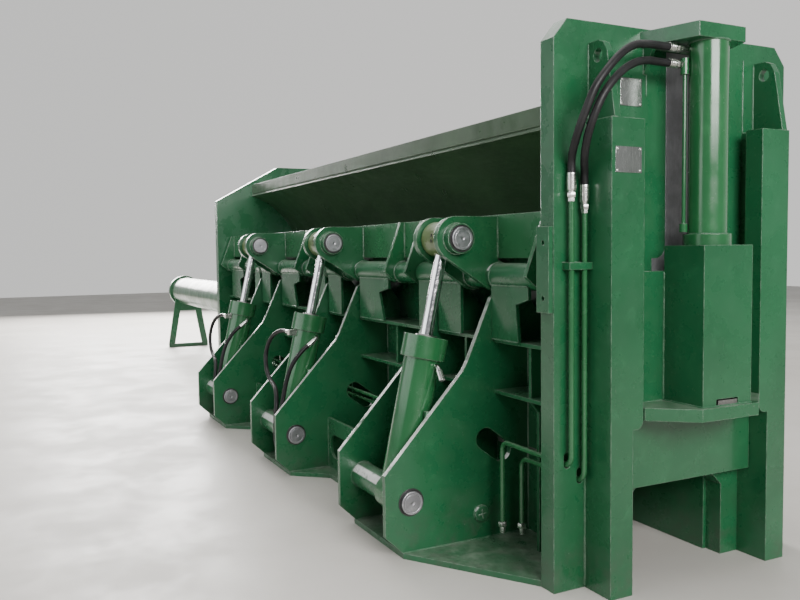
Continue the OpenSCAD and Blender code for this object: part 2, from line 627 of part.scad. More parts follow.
module hose_2b() place() color(rubber)
    swept_tube(shifted(hose_b, cyl_x[1]), hose_d, 4, [0, -0.8, -0.6], [0, 1, 0]);

// Lid: a closed box girder whose nose is an arc about the hinge.
module lid_profile(inset) {
    r = lid_r - inset;
    low = lid_low + inset;
    high = lid_rise - inset;
    back = lid_back_y - hinge_y + inset;
    translate([hinge_y, hinge_z]) polygon(concat([[100 + inset, low]],
        arc([0, 0], r, asin(low / r), asin(high / r), 16),
        [[back, high], [back, 95 + inset], [100 + inset, 95 + inset]]));
}
module lid_box() place() color(green)
    plate_x(lid_x0 + lid_end_t, lid_x1 - lid_x0 - 2 * lid_end_t) difference() {
        lid_profile(0);
        lid_profile(lid_t);
    }
module lid_end_plates() place() color(green) {
    plate_x(lid_x0, lid_end_t) lid_profile(0);
    plate_x(lid_x1 - lid_end_t, lid_end_t) lid_profile(0);
}
module ear_outline() {
    hinge = [hinge_y, hinge_z];
    low = lower_tangent(top_pin, ear_r, hinge, hub_r);
    difference() {
        union() {
            translate(top_pin) circle(r = ear_r);
            translate(hinge) circle(r = hub_r);
            polygon([low[0], low[1], [hinge_y, hinge_z], [lid_back_y, hinge_z + 60],
                [lid_back_y, top_pin[1] + ear_r], [top_pin[0], top_pin[1] + ear_r], top_pin]);
        }
        translate(top_pin) circle(r = pin_d / 2 + run_gap);
        translate(hinge) circle(r = shaft_d / 2 + run_gap);
    }
}
module lid_ears() place() color(green) for (x = cyl_x) {
    plate_x(x + ear_gap / 2, ear_t) ear_outline();
    plate_x(x - ear_gap / 2 - ear_t, ear_t) ear_outline();
    for (side = [[ear_gap / 2 + ear_t, ear_boss, 30], [-ear_gap / 2 - ear_t - 10, 10, 24]]) difference() {
        rod_x(x + side[0], x + side[0] + side[1], top_pin[0], top_pin[1], pin_d / 2 + side[2]);
        rod_x(x + side[0] - 1, x + side[0] + side[1] + 1, top_pin[0], top_pin[1], pin_d / 2 + run_gap);
    }
}
gusset_x = concat(gusset_a, gusset_b, [gusset_end, lid_x0 + 30]);
module lid_gussets() place() color(green) for (x = gusset_x) plate_x(x, gusset_t) difference() {
    union() {
        polygon([[lid_back_y, hinge_z + lid_rise], [lid_back_y - 28, hinge_z + lid_rise],
            [hinge_y - 142, hinge_z + 6], [hinge_y - 60, hinge_z - 62], [hinge_y, hinge_z],
            [lid_back_y, hinge_z + 60]]);
        translate([hinge_y, hinge_z]) circle(r = hinge_r);
    }
    translate([hinge_y, hinge_z]) circle(r = shaft_d / 2 + run_gap);
}
// Lid sleeves turn on the shaft between the ears and between the gussets.
sleeve_spans = concat([for (k = [0:2]) [gusset_a[k] + gusset_t, gusset_b[k]]],
    [for (x = cyl_x) [x - ear_gap / 2, x + ear_gap / 2]],
    [[gusset_end + gusset_t, chamber_x1 - line_gap], [lid_x0 + 30 + gusset_t, lid_x0 + 140]]);
module lid_sleeves() place() color(green) for (s = sleeve_spans) difference() {
    rod_x(s[0], s[1], hinge_y, hinge_z, hinge_r);
    rod_x(s[0] - 1, s[1] + 1, hinge_y, hinge_z, shaft_d / 2 + run_gap);
}
module upper_pins() place() color(steel) for (x = cyl_x) {
    boss_end = x + ear_gap / 2 + ear_t + ear_boss;
    rod_x(x + ear_gap / 2 - 3, boss_end + 1, top_pin[0], top_pin[1], pin_d / 2);
    rod_x(boss_end, boss_end + 14, top_pin[0], top_pin[1], pin_head_r);
    rod_x(x - ear_gap / 2 - ear_t - 28, x - ear_gap / 2 + 3, top_pin[0], top_pin[1], pin_d / 2);
    rod_x(x - ear_gap / 2 - 10, x + ear_gap / 2 + 10, top_pin[0], top_pin[1], pin_neck_r);
}

// Lid cylinders, drawn along their own axis from the lower pin.
module along_cylinder(i) translate([cyl_x[i], base_pin[0], base_pin[1]]) rotate([-cyl_tilt, 0, 0]) children();
module eye_blank(z, w) translate([-w / 2, 0, z]) rotate([0, 90, 0]) cylinder(r = eye_r, h = w);
module barrel(i) place() color(green) along_cylinder(i) difference() {
    union() {
        eye_blank(0, eye_w);
        translate([0, 0, barrel_z]) cylinder(r = barrel_d / 2, h = gland_top - 20 - barrel_z);
        translate([0, 0, gland_top - gland_h]) cylinder(r = gland_r, h = gland_h);
    }
    translate([-eye_w, 0, 0]) rotate([0, 90, 0]) cylinder(r = pin_d / 2 + run_gap, h = 2 * eye_w);
    translate([0, 0, bore_z]) cylinder(r = bore_r, h = gland_top - gland_h - bore_z);
    translate([0, 0, 200]) cylinder(r = rod_d / 2 + run_gap, h = 800);
}
module barrel_1() barrel(0);
module barrel_2() barrel(1);
module barrel_3() barrel(2);

// Ports under the gland: a block with a ferrule in front, and an elbow with a ferrule on the right.
// The first two elbows point forward and down to their hoses, the third one stands open.
port_at = [40, -930, 985];
elbow_r = 40;
module elbow(turn, roll) translate(port_at) rotate([roll, 0, 0]) {
    straight = 60;
    rotate([0, 90, 0]) cylinder(r = 13, h = straight);
    translate([straight, -elbow_r, 0]) rotate([0, 0, 90 - turn]) bend(elbow_r, 13, turn);
    translate([straight + elbow_r * sin(turn), -elbow_r + elbow_r * cos(turn), 0])
        rotate([0, 0, -turn]) rotate([0, 90, 0]) cylinder(r = 17, h = 60);
}
module ports(i, turn, roll, front) place() color(steel) difference() {
    translate([cyl_x[i], 0, 0]) {
        elbow(turn, roll);
        if (front) {
            block([-4, -1114, 998], [38, -1030, 1038]);
            rod_x(-60, -4, -1096, 1018, 17);
        }
    }
    along_cylinder(i) cylinder(r = barrel_d / 2, h = gland_top);
    along_cylinder(i) translate([0, 0, gland_top - gland_h]) cylinder(r = gland_r, h = gland_h);
}
module ports_1() ports(0, 90, asin(0.6), true);
module ports_2() ports(1, 90, asin(0.6), true);
module ports_3() ports(2, 57, 90, false);

module rod(i) place() color(steel) along_cylinder(i) {
    translate([0, 0, piston_z]) cylinder(r = bore_r - run_gap, h = 80);
    difference() {
        translate([0, 0, piston_z]) cylinder(r = rod_d / 2, h = cyl_len - piston_z);
        translate([-eye_w, 0, cyl_len]) rotate([0, 90, 0]) cylinder(r = eye_r, h = 2 * eye_w);
    }
}
module rod_1() rod(0);
module rod_2() rod(1);
module rod_3() rod(2);
module rod_eye(i) place() color([0.45, 0.43, 0.25]) along_cylinder(i) difference() {
    eye_blank(cyl_len, eye_w);
    translate([-eye_w, 0, cyl_len]) rotate([0, 90, 0]) cylinder(r = open_bore_r, h = 2 * eye_w);
}
module rod_eye_1() rod_eye(0);
module rod_eye_2() rod_eye(1);
module rod_eye_3() rod_eye(2);

// Gate: a thick plate behind the columns' flanges, a box that takes the rod, and its shelf.
module gate_plate() place() color(green)
    block([gate_back_x, -gate_half, gate_low], [gate_face_x, gate_half, gate_top]);
module gate_box() place() color(green) {
    difference() {
        block([gate_face_x, -gate_box_half, shelf_z], [gate_box_x, gate_box_half, gate_box_top]);
        block([gate_face_x - 1, -gate_box_half + gate_box_t, shelf_z - 1],
            [gate_box_x - gate_box_t, gate_box_half - gate_box_t, gate_box_top + 1]);
        block([gate_box_x - gate_box_t - 1, -70, shelf_z - 1], [gate_box_x + 1, 70, shelf_z + 32]);
    }
    translate([0, 0, shelf_z - shelf_t]) linear_extrude(shelf_t)
        polygon([[gate_face_x, -374], [column_d + 4, -374], [shelf_front, -180], [shelf_front, 180],
            [column_d + 4, 374], [gate_face_x, 374]]);
}
gate_rod_top = collar_z + collar_h + 40;
module gate_rod() place() color(steel) {
    translate([gate_cyl_x, 0, shelf_z]) cylinder(r = gate_rod_d / 2, h = gate_rod_top - shelf_z);
    translate([gate_cyl_x, 0, gate_rod_top]) cylinder(r = gate_tube_d / 2 - 20 - run_gap, h = 60);
}
module rod_keeper() place() color(green) difference() {
    block([gate_face_x + 6, -60, shelf_z], [gate_box_x + 2, 60, shelf_z + keeper_t]);
    translate([gate_cyl_x, 0, shelf_z - 1]) cylinder(r = gate_rod_d / 2 + run_gap, h = 40);
}

// Main ram: a head that fills the chamber and its rod.
head_len = 900;
module ram_head() place() color(green) {
    x1 = chamber_x0 + 40 + head_len;
    difference() {
        block([chamber_x0 + 40, near_wall_y + 6, floor_z], [x1, far_wall_y - 6, hinge_z - 45]);
        block([chamber_x0 + 39, near_wall_y + 46, floor_z + 40], [x1 - 80, far_wall_y - 46, hinge_z - 85]);
    }
}
module ram_rod() place() color(steel) {
    rod_x(ram_tail_x + 300, chamber_x0 + head_len - 40, ram_axis[0], ram_axis[1], ram_rod_d / 2);
    rod_x(ram_tail_x + 200, ram_tail_x + 300, ram_axis[0], ram_axis[1],
        ram_barrel_d / 2 - ram_wall - run_gap);
}

base_frame();
chamber_floor();
portal();
left_column();
right_column();
gate_wear_strip();
crosshead();
lifting_eyes();
rear_plate();
near_wall();
wall_ribs();
back_liner();
back_ribs();
hood_rim();
hinge_bearings();
skirts();
cheeks();
hinge_shaft();
shaft_end_block();
lower_pins();
gate_barrel();
gate_pipe();
portal_pipes();
pipe_clamps();
pipe_fittings();
feed_pipes();
blank_plates();
hose_blocks();
ram_barrel();
tail_stand();
gate_hose_upper();
gate_hose_lower();
lid_box();
lid_end_plates();
lid_ears();
lid_gussets();
lid_sleeves();
upper_pins();
barrel_1();
ports_1();
hose_1a();
hose_1b();
rod_1();
rod_eye_1();
barrel_2();
ports_2();
hose_2a();
hose_2b();
rod_2();
rod_eye_2();
barrel_3();
ports_3();
rod_3();
rod_eye_3();
gate_plate();
gate_box();
gate_rod();
rod_keeper();
ram_head();
ram_rod();
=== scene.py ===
import itertools
import math

import bmesh
import bpy
from mathutils import Matrix, Vector, noise


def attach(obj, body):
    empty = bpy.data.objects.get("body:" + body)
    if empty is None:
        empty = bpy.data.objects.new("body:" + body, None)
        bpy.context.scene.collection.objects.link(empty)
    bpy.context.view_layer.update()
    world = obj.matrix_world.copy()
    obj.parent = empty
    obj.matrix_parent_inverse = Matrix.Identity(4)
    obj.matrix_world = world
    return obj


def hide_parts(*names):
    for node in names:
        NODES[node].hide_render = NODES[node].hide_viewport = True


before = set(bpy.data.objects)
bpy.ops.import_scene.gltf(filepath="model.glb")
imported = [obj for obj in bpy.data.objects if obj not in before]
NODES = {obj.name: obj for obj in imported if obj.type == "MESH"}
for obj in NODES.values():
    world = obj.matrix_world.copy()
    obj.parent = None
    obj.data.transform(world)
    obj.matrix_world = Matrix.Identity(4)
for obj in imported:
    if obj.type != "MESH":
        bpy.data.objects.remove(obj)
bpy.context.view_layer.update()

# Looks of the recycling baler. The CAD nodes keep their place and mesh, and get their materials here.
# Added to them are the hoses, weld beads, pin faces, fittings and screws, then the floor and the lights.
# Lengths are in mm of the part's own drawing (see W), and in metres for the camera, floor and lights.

# Driving sizes, equal to those of the part's source
PORTAL_H = 2636.0
PORTAL_T = 97.0
COLUMN_DROP = 456.0
COLUMN_D = 180.0
COLUMN_OUT = 570.0
CHAMBER_LEN = 6250.0
BASE_T = 30.0
BASE_EDGE_Y = -1170.0
WALL_OUT = -380.0
HINGE = (-565.0, 1460.0)
HINGE_R = 70.0
BASE_PIN = (-1121.0, 293.0)
TOP_PIN = (-815.0, 1662.0)
PIN_R = 50.0
PIN_HEAD_R = 62.0
PAIR_PITCH = 1800.0
BARREL_R = 100.0
EYE_R = 95.0
CHEEK_T = 30.0
CHEEK_FRONT_X = 135.0
CHEEK_REAR_X = -445.0
EAR_IN = 98.0
EAR_OUT = 133.0
GUSSET_T = 25.0
LINE_GAP = 5.0
GATE_CYL_X = 190.0
GATE_CYL_R = 90.0
HOSE_D = 31.0
GATE_HOSE_D = 36.0

# What follows from them: columns, shelves, cylinders, cheeks and the spans of the hinge line
COLUMN_H = PORTAL_H - COLUMN_DROP
SHELF_T = 20.0
SHELVES = (820.0, 1100.0)
SHELF_TOPS = tuple(z + SHELF_T for z in SHELVES)
LID_BACK_Y = HINGE[0] + 10.0
LID_END_X = (-6190.0, -6165.0)
CYLINDERS = (1, 2, 3)
CYL_X = [-885.0 - (3 - k) * PAIR_PITCH for k in CYLINDERS]
CYL_LEN = 1402.8
CYL_TILT = math.atan2(TOP_PIN[0] - BASE_PIN[0], TOP_PIN[1] - BASE_PIN[1])
CHEEKS = [(x + CHEEK_REAR_X - CHEEK_T, x + CHEEK_REAR_X, x + CHEEK_FRONT_X, x + CHEEK_FRONT_X + CHEEK_T)
          for x in CYL_X]
CHEEK_BOSS = (-694.0, 169.0)
CHEEK_BOSS_R = 44.0
BETWEEN_CHEEKS = [(CHEEKS[0][3], CHEEKS[1][0]), (CHEEKS[1][3], CHEEKS[2][0])]
WALL_BAYS = [(-CHAMBER_LEN, CHEEKS[0][0])] + [(f[1], f[2]) for f in CHEEKS]
WALL_BAYS += BETWEEN_CHEEKS + [(CHEEKS[2][3], -PORTAL_T)]
HINGE_BAYS = [(-6075.0, CHEEKS[0][0])] + BETWEEN_CHEEKS
GUSSET_A = [round(a + 0.5345 * (b - a)) for a, b in HINGE_BAYS]
GUSSET_B = [round(a + 0.7931 * (b - a)) for a, b in HINGE_BAYS]
GUSSET_END = -300.0

# Fixed hinge tubes: start, end, and where the bracket under each stands, as fractions of the tube:
# its back edge, and its front edge at the foot, at the top and at the wing
TUBES = [(a, g - LINE_GAP, 0.057, 0.707, 0.593, 0.837) for (a, b), g in zip(HINGE_BAYS, GUSSET_A)]
TUBES += [(g + GUSSET_T + 8, b, 0.06, 0.88, 0.88, 0.88) for (a, b), g in zip(HINGE_BAYS, GUSSET_B)]
TUBES += [(x + CHEEK_REAR_X, x - EAR_OUT - LINE_GAP, 0.08, 0.93, 0.93, 0.93) for x in CYL_X]
TUBES += [(CHEEKS[2][3], GUSSET_END - LINE_GAP, 0.0, 0.605, 0.552, 0.817)]

# Gate side: ports of the gate cylinder, the two rigid pipes and their open ends low in the front bay
GATE_PORT_X = 135.0
GATE_PORT_Z = (PORTAL_H - 110, PORTAL_H - 184)
FERRULE_Y = -123.0
PIPE_X = 33.0
PIPE_TOPS = ((-675.0, PORTAL_H - 808), (-601.0, PORTAL_H - 861))
PIPE_ENDS = ((-537.0, -675.0), (-467.0, -601.0))
PIPE_END_Z = 149.0
SHELF_Z = 868.0
GATE_FACE_X = 74.0
GATE_BOX_HALF = 155.0
GATE_BOX_X = 320.0
COLLAR_TOP = 1662.0

# Where the drawing's origin stands in the shared frame
ORIGIN_X = 5602.5
ORIGIN_Y = 260.0
UP = (0.0, 0.0, 1.0)
X_AXIS = (1.0, 0.0, 0.0)
ONCE_ROUND = [2 * math.pi * k / 48 for k in range(49)]


def W(x, y, z):
    """A point of the drawing (X from the portal's front face, Y from its centre) in the shared frame."""
    return Vector(((x + ORIGIN_X) / 1000.0, (y + ORIGIN_Y) / 1000.0, z / 1000.0))


# Camera, solved from the photo's two vanishing directions at an eye height of 1.6 m
def make_camera():
    right = (0.4467, 0.8946, -0.0122)
    up = (-0.0482, 0.0377, 0.9981)
    back = (0.8934, -0.4453, 0.0599)
    place = (8.6025, -2.765, 1.600)
    data = bpy.data.cameras.new("camera")
    data.lens = 36.72
    data.sensor_width = 36.0
    data.clip_start = 0.05
    data.clip_end = 200.0
    cam = bpy.data.objects.new("camera", data)
    bpy.context.scene.collection.objects.link(cam)
    cam.matrix_world = Matrix((*zip(right, up, back, place), (0, 0, 0, 1)))
    bpy.context.scene.camera = cam


make_camera()


# Materials
class Shader:
    """One Principled material, with short ways to add procedural nodes."""

    def __init__(self, name):
        self.mat = bpy.data.materials.new(name)
        self.mat.use_nodes = True
        self.tree = self.mat.node_tree
        self.bsdf = self.tree.nodes["Principled BSDF"]
        self.coord = self.tree.nodes.new("ShaderNodeTexCoord")
        self.geo = self.tree.nodes.new("ShaderNodeNewGeometry")
        self.at = self.coord.outputs["Object"]

    def put(self, socket, value):
        """Links a socket to another, or sets its own number or colour."""
        if isinstance(value, bpy.types.NodeSocket):
            self.tree.links.new(value, socket)
        else:
            socket.default_value = value

    def set(self, **inputs):
        for name, value in inputs.items():
            self.put(self.bsdf.inputs[name.replace("_", " ")], value)

    def math(self, op, a, b=0.0, clamp=False):
        n = self.tree.nodes.new("ShaderNodeMath")
        n.operation = op
        n.use_clamp = clamp
        self.put(n.inputs[0], a)
        self.put(n.inputs[1], b)
        return n.outputs[0]

    def noise(self, scale, detail=3.0, rough=0.55, stretch=(1, 1, 1), seed=0.0):
        """Noise in the piece's own frame; seed moves it, so that no two layers match."""
        m = self.tree.nodes.new("ShaderNodeMapping")
        self.tree.links.new(self.at, m.inputs["Vector"])
        m.inputs["Location"].default_value = (seed * 3.1, seed * 1.7, seed * 2.3)
        m.inputs["Scale"].default_value = stretch
        n = self.tree.nodes.new("ShaderNodeTexNoise")
        self.tree.links.new(m.outputs[0], n.inputs["Vector"])
        n.inputs["Scale"].default_value = scale
        n.inputs["Detail"].default_value = detail
        n.inputs["Roughness"].default_value = rough
        return n.outputs["Fac"]

    def ramp(self, value, low, high, out0=0.0, out1=1.0):
        """A smooth step from out0 at low to out1 at high."""
        n = self.tree.nodes.new("ShaderNodeMapRange")
        n.interpolation_type = "SMOOTHSTEP"
        self.put(n.inputs["Value"], value)
        self.put(n.inputs["From Min"], low)
        self.put(n.inputs["From Max"], high)
        self.put(n.inputs["To Min"], out0)
        self.put(n.inputs["To Max"], out1)
        return n.outputs["Result"]

    def mix(self, fac, a, b):
        """Colour a at 0 to colour b at 1."""
        n = self.tree.nodes.new("ShaderNodeMix")
        n.data_type = "RGBA"
        self.put(n.inputs[0], fac)
        for socket, colour in ((n.inputs[6], a), (n.inputs[7], b)):
            self.put(socket, colour if isinstance(colour, bpy.types.NodeSocket) else (*colour, 1.0))
        return n.outputs[2]

    def height(self):
        """How high a point is in the piece's own frame, in metres."""
        n = self.tree.nodes.new("ShaderNodeSeparateXYZ")
        self.tree.links.new(self.at, n.inputs[0])
        return n.outputs[2]

    def along(self, direction):
        """How far the surface faces a direction, in the piece's own frame."""
        n = self.tree.nodes.new("ShaderNodeVectorMath")
        n.operation = "DOT_PRODUCT"
        self.tree.links.new(self.coord.outputs["Normal"], n.inputs[0])
        n.inputs[1].default_value = direction
        return n.outputs["Value"]

    def edges(self, radius, low=0.012, high=0.10):
        """1 along sharp outer edges, where a rounded normal differs from the true one, and that normal."""
        b = self.tree.nodes.new("ShaderNodeBevel")
        b.samples = 4
        b.inputs["Radius"].default_value = radius
        d = self.tree.nodes.new("ShaderNodeVectorMath")
        d.operation = "DOT_PRODUCT"
        self.tree.links.new(b.outputs[0], d.inputs[0])
        self.tree.links.new(self.geo.outputs["True Normal"], d.inputs[1])
        gap = self.math("SUBTRACT", 1.0, d.outputs["Value"], clamp=True)
        return self.ramp(gap, low, high), b.outputs[0]

    def bump(self, height, strength, distance, base=None):
        n = self.tree.nodes.new("ShaderNodeBump")
        n.inputs["Strength"].default_value = strength
        n.inputs["Distance"].default_value = distance
        self.put(n.inputs["Height"], height)
        if base is not None:
            self.put(n.inputs["Normal"], base)
        return n.outputs[0]


def enamel_tone(s, base, deep):
    """Runs and mottles of a sprayed coat, from the deep tone to a little lighter than the base."""
    patch = s.ramp(s.noise(0.9, 3.0, 0.6), 0.32, 0.70)
    mottle = s.ramp(s.noise(14.0, 4.0, 0.65, seed=1), 0.50, 0.78)
    spray = s.ramp(s.noise(3.2, 2.0, 0.5, stretch=(1, 1, 0.35), seed=2), 0.52, 0.75)
    light = tuple(min(1.0, c * 1.22 + 0.012) for c in base)
    tone = s.mix(patch, deep, base)
    tone = s.mix(s.math("MULTIPLY", mottle, 0.35), tone, light)
    return s.mix(s.math("MULTIPLY", spray, 0.30), tone, deep)


def dirt_and_top_light(s, tone, top_pale):
    """Paler top faces, for a dusting and, on the hood, for painted light from above; grime near the floor
    and fine specks; gives the tone and the first two masks.
    """
    top = s.ramp(s.along(UP), 0.55, 0.95)
    pale_tops = s.math("MULTIPLY", top, s.ramp(s.noise(5.0, 5.0, 0.7, seed=3), 0.38, 0.66, 0.25, 1.0))
    pale_tops = s.math("MULTIPLY", pale_tops, top_pale)
    tone = s.mix(pale_tops, tone, (0.33, 0.36, 0.30))
    low = s.ramp(s.height(), 0.42, 0.02)
    grime = s.math("MULTIPLY", low, s.ramp(s.noise(7.0, 6.0, 0.7, seed=4), 0.42, 0.68))
    tone = s.mix(s.math("MULTIPLY", grime, 0.45), tone, (0.055, 0.062, 0.045))
    speck = s.ramp(s.noise(95.0, 2.0, 0.5, seed=5), 0.70, 0.76)
    tone = s.mix(s.math("MULTIPLY", speck, 0.22), tone, (0.30, 0.34, 0.28))
    return tone, pale_tops, grime


def worn_and_highlit_edges(s, tone, worn_and_highlight_tone, wear):
    """Paint rubbed off along the edges, which also serves as a painted highlight along them; gives the tone
    and the edges' rounded normal.
    """
    edge, soft = s.edges(0.006)
    worn_and_highlit = s.math("MULTIPLY", edge, s.ramp(s.noise(22.0, 5.0, 0.7, seed=6), 0.40, 0.60, 0.15, 1.0))
    worn_and_highlit = s.math("MULTIPLY", worn_and_highlit, wear, clamp=True)
    return s.mix(worn_and_highlit, tone, worn_and_highlight_tone), soft


def highlight_faces(s, tone, direction):
    """A painted highlight, drawn as unpainted bright steel, on the plate edges that face one direction."""
    faces = s.ramp(s.along(direction), 0.93, 0.97)
    highlight_mask = s.math("MULTIPLY", faces, s.ramp(s.noise(9.0, 5.0, 0.7, seed=7), 0.30, 0.48))
    lines = s.noise(60.0, 3.0, 0.6, stretch=(8, 1, 1), seed=8)
    s.set(Metallic=s.math("MULTIPLY", highlight_mask, 0.25))
    return s.mix(highlight_mask, tone, s.mix(lines, (0.66, 0.67, 0.65), (0.84, 0.85, 0.83)))


def paint(name, base, deep, worn_and_highlight_tone=(0.40, 0.47, 0.40), wear=0.5, highlight_dir=None, gloss=0.27, top_pale=0.42):
    """Sprayed gloss enamel on plate, with orange peel, a slight wave and a clear shine.
    gloss is its roughness where clean; the plate edges turned to the given highlight direction get a painted
    highlight, drawn as unpainted bright steel."""
    s = Shader(name)
    tone, pale_tops, grime = dirt_and_top_light(s, enamel_tone(s, base, deep), top_pale)
    tone, soft = worn_and_highlit_edges(s, tone, worn_and_highlight_tone, wear)
    if highlight_dir is not None:
        tone = highlight_faces(s, tone, highlight_dir)
    rough = s.ramp(s.noise(6.0, 4.0, 0.6, seed=9), 0.3, 0.7, gloss - 0.07, gloss + 0.13)
    rough = s.math("ADD", rough, s.math("MULTIPLY", pale_tops, 0.35))
    rough = s.math("ADD", rough, s.math("MULTIPLY", grime, 0.25), clamp=True)
    peel = s.bump(s.noise(150.0, 2.0, 0.5, seed=10), 0.10, 0.0012, soft)
    wave = s.bump(s.noise(2.6, 2.0, 0.5, seed=11), 0.22, 0.012, peel)
    s.set(Base_Color=tone, Roughness=rough, Normal=wave, Coat_Weight=0.35, Coat_Roughness=0.16)
    return s.mat


def steel(name, base, dark, rough=0.32, lines=(1, 1, 30), line_scale=30.0, metallic=1.0,
          stain=(0.16, 0.13, 0.10), stained=0.35):
    """Machined or plated steel with its tool marks, tarnish, and a painted highlight that brightens its
    edges.
    """
    s = Shader(name)
    cloud = s.noise(7.0, 4.0, 0.6)
    marks = s.noise(line_scale, 3.0, 0.6, stretch=lines, seed=1)
    tone = s.mix(s.ramp(cloud, 0.35, 0.7), dark, base)
    tone = s.mix(s.math("MULTIPLY", s.ramp(marks, 0.45, 0.75), 0.4), tone, dark)
    spots = s.math("MULTIPLY", s.ramp(s.noise(33.0, 5.0, 0.75, seed=2), 0.58, 0.72), stained)
    tone = s.mix(spots, tone, stain)
    edge, soft = s.edges(0.003)
    # Edges lightened as a painted highlight
    tone = s.mix(s.math("MULTIPLY", edge, 0.5), tone, tuple(min(1.0, c * 1.25) for c in base))
    worked = s.ramp(marks, 0.3, 0.7, rough - 0.08, rough + 0.12)
    worked = s.math("ADD", worked, s.math("MULTIPLY", spots, 0.3), clamp=True)
    s.set(Base_Color=tone, Roughness=worked, Normal=s.bump(marks, 0.12, 0.0008, soft), Metallic=metallic)
    return s.mat


def rubber(name):
    """Hose cover: black rubber with the wrap's fine ripple, dusted upper faces and a soft shine."""
    s = Shader(name)
    cloud = s.noise(6.0, 4.0, 0.6)
    fine = s.noise(210.0, 2.0, 0.6, seed=1)
    tone = s.mix(s.ramp(cloud, 0.35, 0.75), (0.007, 0.007, 0.008), (0.018, 0.018, 0.019))
    top = s.ramp(s.along(UP), 0.2, 1.0)
    pale_tops = s.math("MULTIPLY", top, s.ramp(s.noise(18.0, 5.0, 0.7, seed=2), 0.40, 0.70))
    tone = s.mix(s.math("MULTIPLY", pale_tops, 0.25), tone, (0.11, 0.105, 0.095))
    wrap = s.noise(70.0, 2.0, 0.4, stretch=(0.4, 0.4, 3.0), seed=3)
    ripple = s.bump(wrap, 0.12, 0.0010, s.bump(fine, 0.15, 0.0006))
    rough = s.ramp(fine, 0.3, 0.7, 0.36, 0.52)
    s.set(Base_Color=tone, Roughness=rough, Normal=ripple, Specular_IOR_Level=0.32)
    return s.mat


GREEN = (0.014, 0.118, 0.045)
DEEP_GREEN = (0.009, 0.084, 0.031)
CHEEK_SLOPE = (0.0, -0.735, 0.678)
EVEN = (1, 1, 1)
M_PAINT = paint("paint_green", GREEN, DEEP_GREEN)
# The cheeks' plate edges that face their slope get a painted highlight, drawn as unpainted bright steel
M_CHEEK = paint("paint_cheek", GREEN, DEEP_GREEN, highlight_dir=CHEEK_SLOPE)
# The ears' heavier, paler edge tone is a painted highlight on their rims, over the paint rubbed off there
M_EAR = paint("paint_ear", (0.016, 0.120, 0.042), DEEP_GREEN, wear=0.9, worn_and_highlight_tone=(0.50, 0.54, 0.49))
M_LID = paint("paint_lid", (0.020, 0.130, 0.048), (0.013, 0.092, 0.033), top_pale=0.6)
# Darker, browner copy of the same green paint: painted reflection on the hood and painted shade on the back
# liner; its higher amount of top paling lightens the rim's top faces as painted light from above
M_HOOD_REFLECTION_SHADE = paint("paint_hood_reflection_shade", (0.032, 0.082, 0.032), (0.022, 0.052, 0.022), top_pale=0.8, gloss=0.34)
M_TUBE = paint("paint_tube", (0.022, 0.138, 0.046), (0.015, 0.100, 0.034), gloss=0.18, top_pale=0.2)
M_RAM = paint("paint_ram", (0.018, 0.110, 0.042), (0.012, 0.080, 0.030), gloss=0.40, top_pale=0.1)
M_OLIVE = paint("paint_olive", (0.115, 0.165, 0.050), (0.080, 0.125, 0.040), gloss=0.34,
                worn_and_highlight_tone=(0.50, 0.48, 0.34))
M_STEEL = steel("steel_dark", (0.42, 0.42, 0.41), (0.22, 0.22, 0.215), 0.36)
M_PLATE = steel("plate_glossy", (0.62, 0.65, 0.63), (0.50, 0.54, 0.51), 0.16, lines=(1, 20, 1),
                line_scale=20.0, stained=0.08)
M_PIN = steel("steel_pin", (0.52, 0.51, 0.54), (0.34, 0.335, 0.36), 0.40, lines=EVEN, line_scale=90.0)
M_STRIP = steel("steel_strip", (0.30, 0.30, 0.315), (0.20, 0.20, 0.21), 0.40, lines=(12, 12, 0.6),
                line_scale=26.0, metallic=0.75, stained=0.15)
M_PLATED = steel("plated", (0.80, 0.80, 0.76), (0.52, 0.52, 0.50), 0.24, line_scale=60.0, stained=0.12)
M_CHROME = steel("chrome", (0.90, 0.90, 0.92), (0.78, 0.78, 0.80), 0.12, lines=EVEN, line_scale=40.0,
                 stained=0.05)
M_WEAR = steel("steel_worn", (0.40, 0.385, 0.36), (0.20, 0.185, 0.17), 0.46, lines=(0.3, 6, 6),
               line_scale=9.0, metallic=0.8, stain=(0.17, 0.085, 0.045), stained=0.55)
# Near-black steel for the rings round the pin heads, which are painted shade
M_RING_SHADE = steel("steel_ring_shade", (0.10, 0.10, 0.10), (0.035, 0.035, 0.035), 0.40, line_scale=50.0,
                 metallic=0.6, stain=(0.02, 0.02, 0.02), stained=0.5)
M_RUBBER = rubber("hose_rubber")

# Which nodes have which material; every other node has the green paint
LOOKS = (
    (M_CHEEK, "cheeks"),
    (M_EAR, "lid_ears lid_gussets lid_end_plates"),
    (M_LID, "lid_box"),
    (M_HOOD_REFLECTION_SHADE, "hood_rim back_liner"),
    (M_TUBE, "barrel_1 barrel_2 barrel_3 gate_barrel gate_pipe portal_pipes feed_pipes"),
    (M_RAM, "ram_barrel"),
    (M_OLIVE, "rod_eye_1 rod_eye_2 rod_eye_3"),
    (M_STEEL, "hinge_shaft hose_blocks rod_keeper"),
    (M_PLATE, "blank_plates"),
    (M_PIN, "lower_pins upper_pins"),
    (M_STRIP, "gate_wear_strip"),
    (M_PLATED, "ports_1 ports_2 ports_3 pipe_fittings"),
    (M_CHROME, "rod_1 rod_2 rod_3 gate_rod ram_rod"),
    (M_WEAR, "chamber_floor ram_head"),
    (M_RUBBER, "gate_hose_upper gate_hose_lower hose_1a hose_1b hose_2a hose_2b"),
)


def dress_nodes():
    look = {name: mat for mat, names in LOOKS for name in names.split()}
    for name, node in NODES.items():
        mat = look.get(name, M_PAINT)
        if node.material_slots:
            for slot in node.material_slots:
                slot.material = mat
        else:
            node.data.materials.append(mat)


dress_nodes()


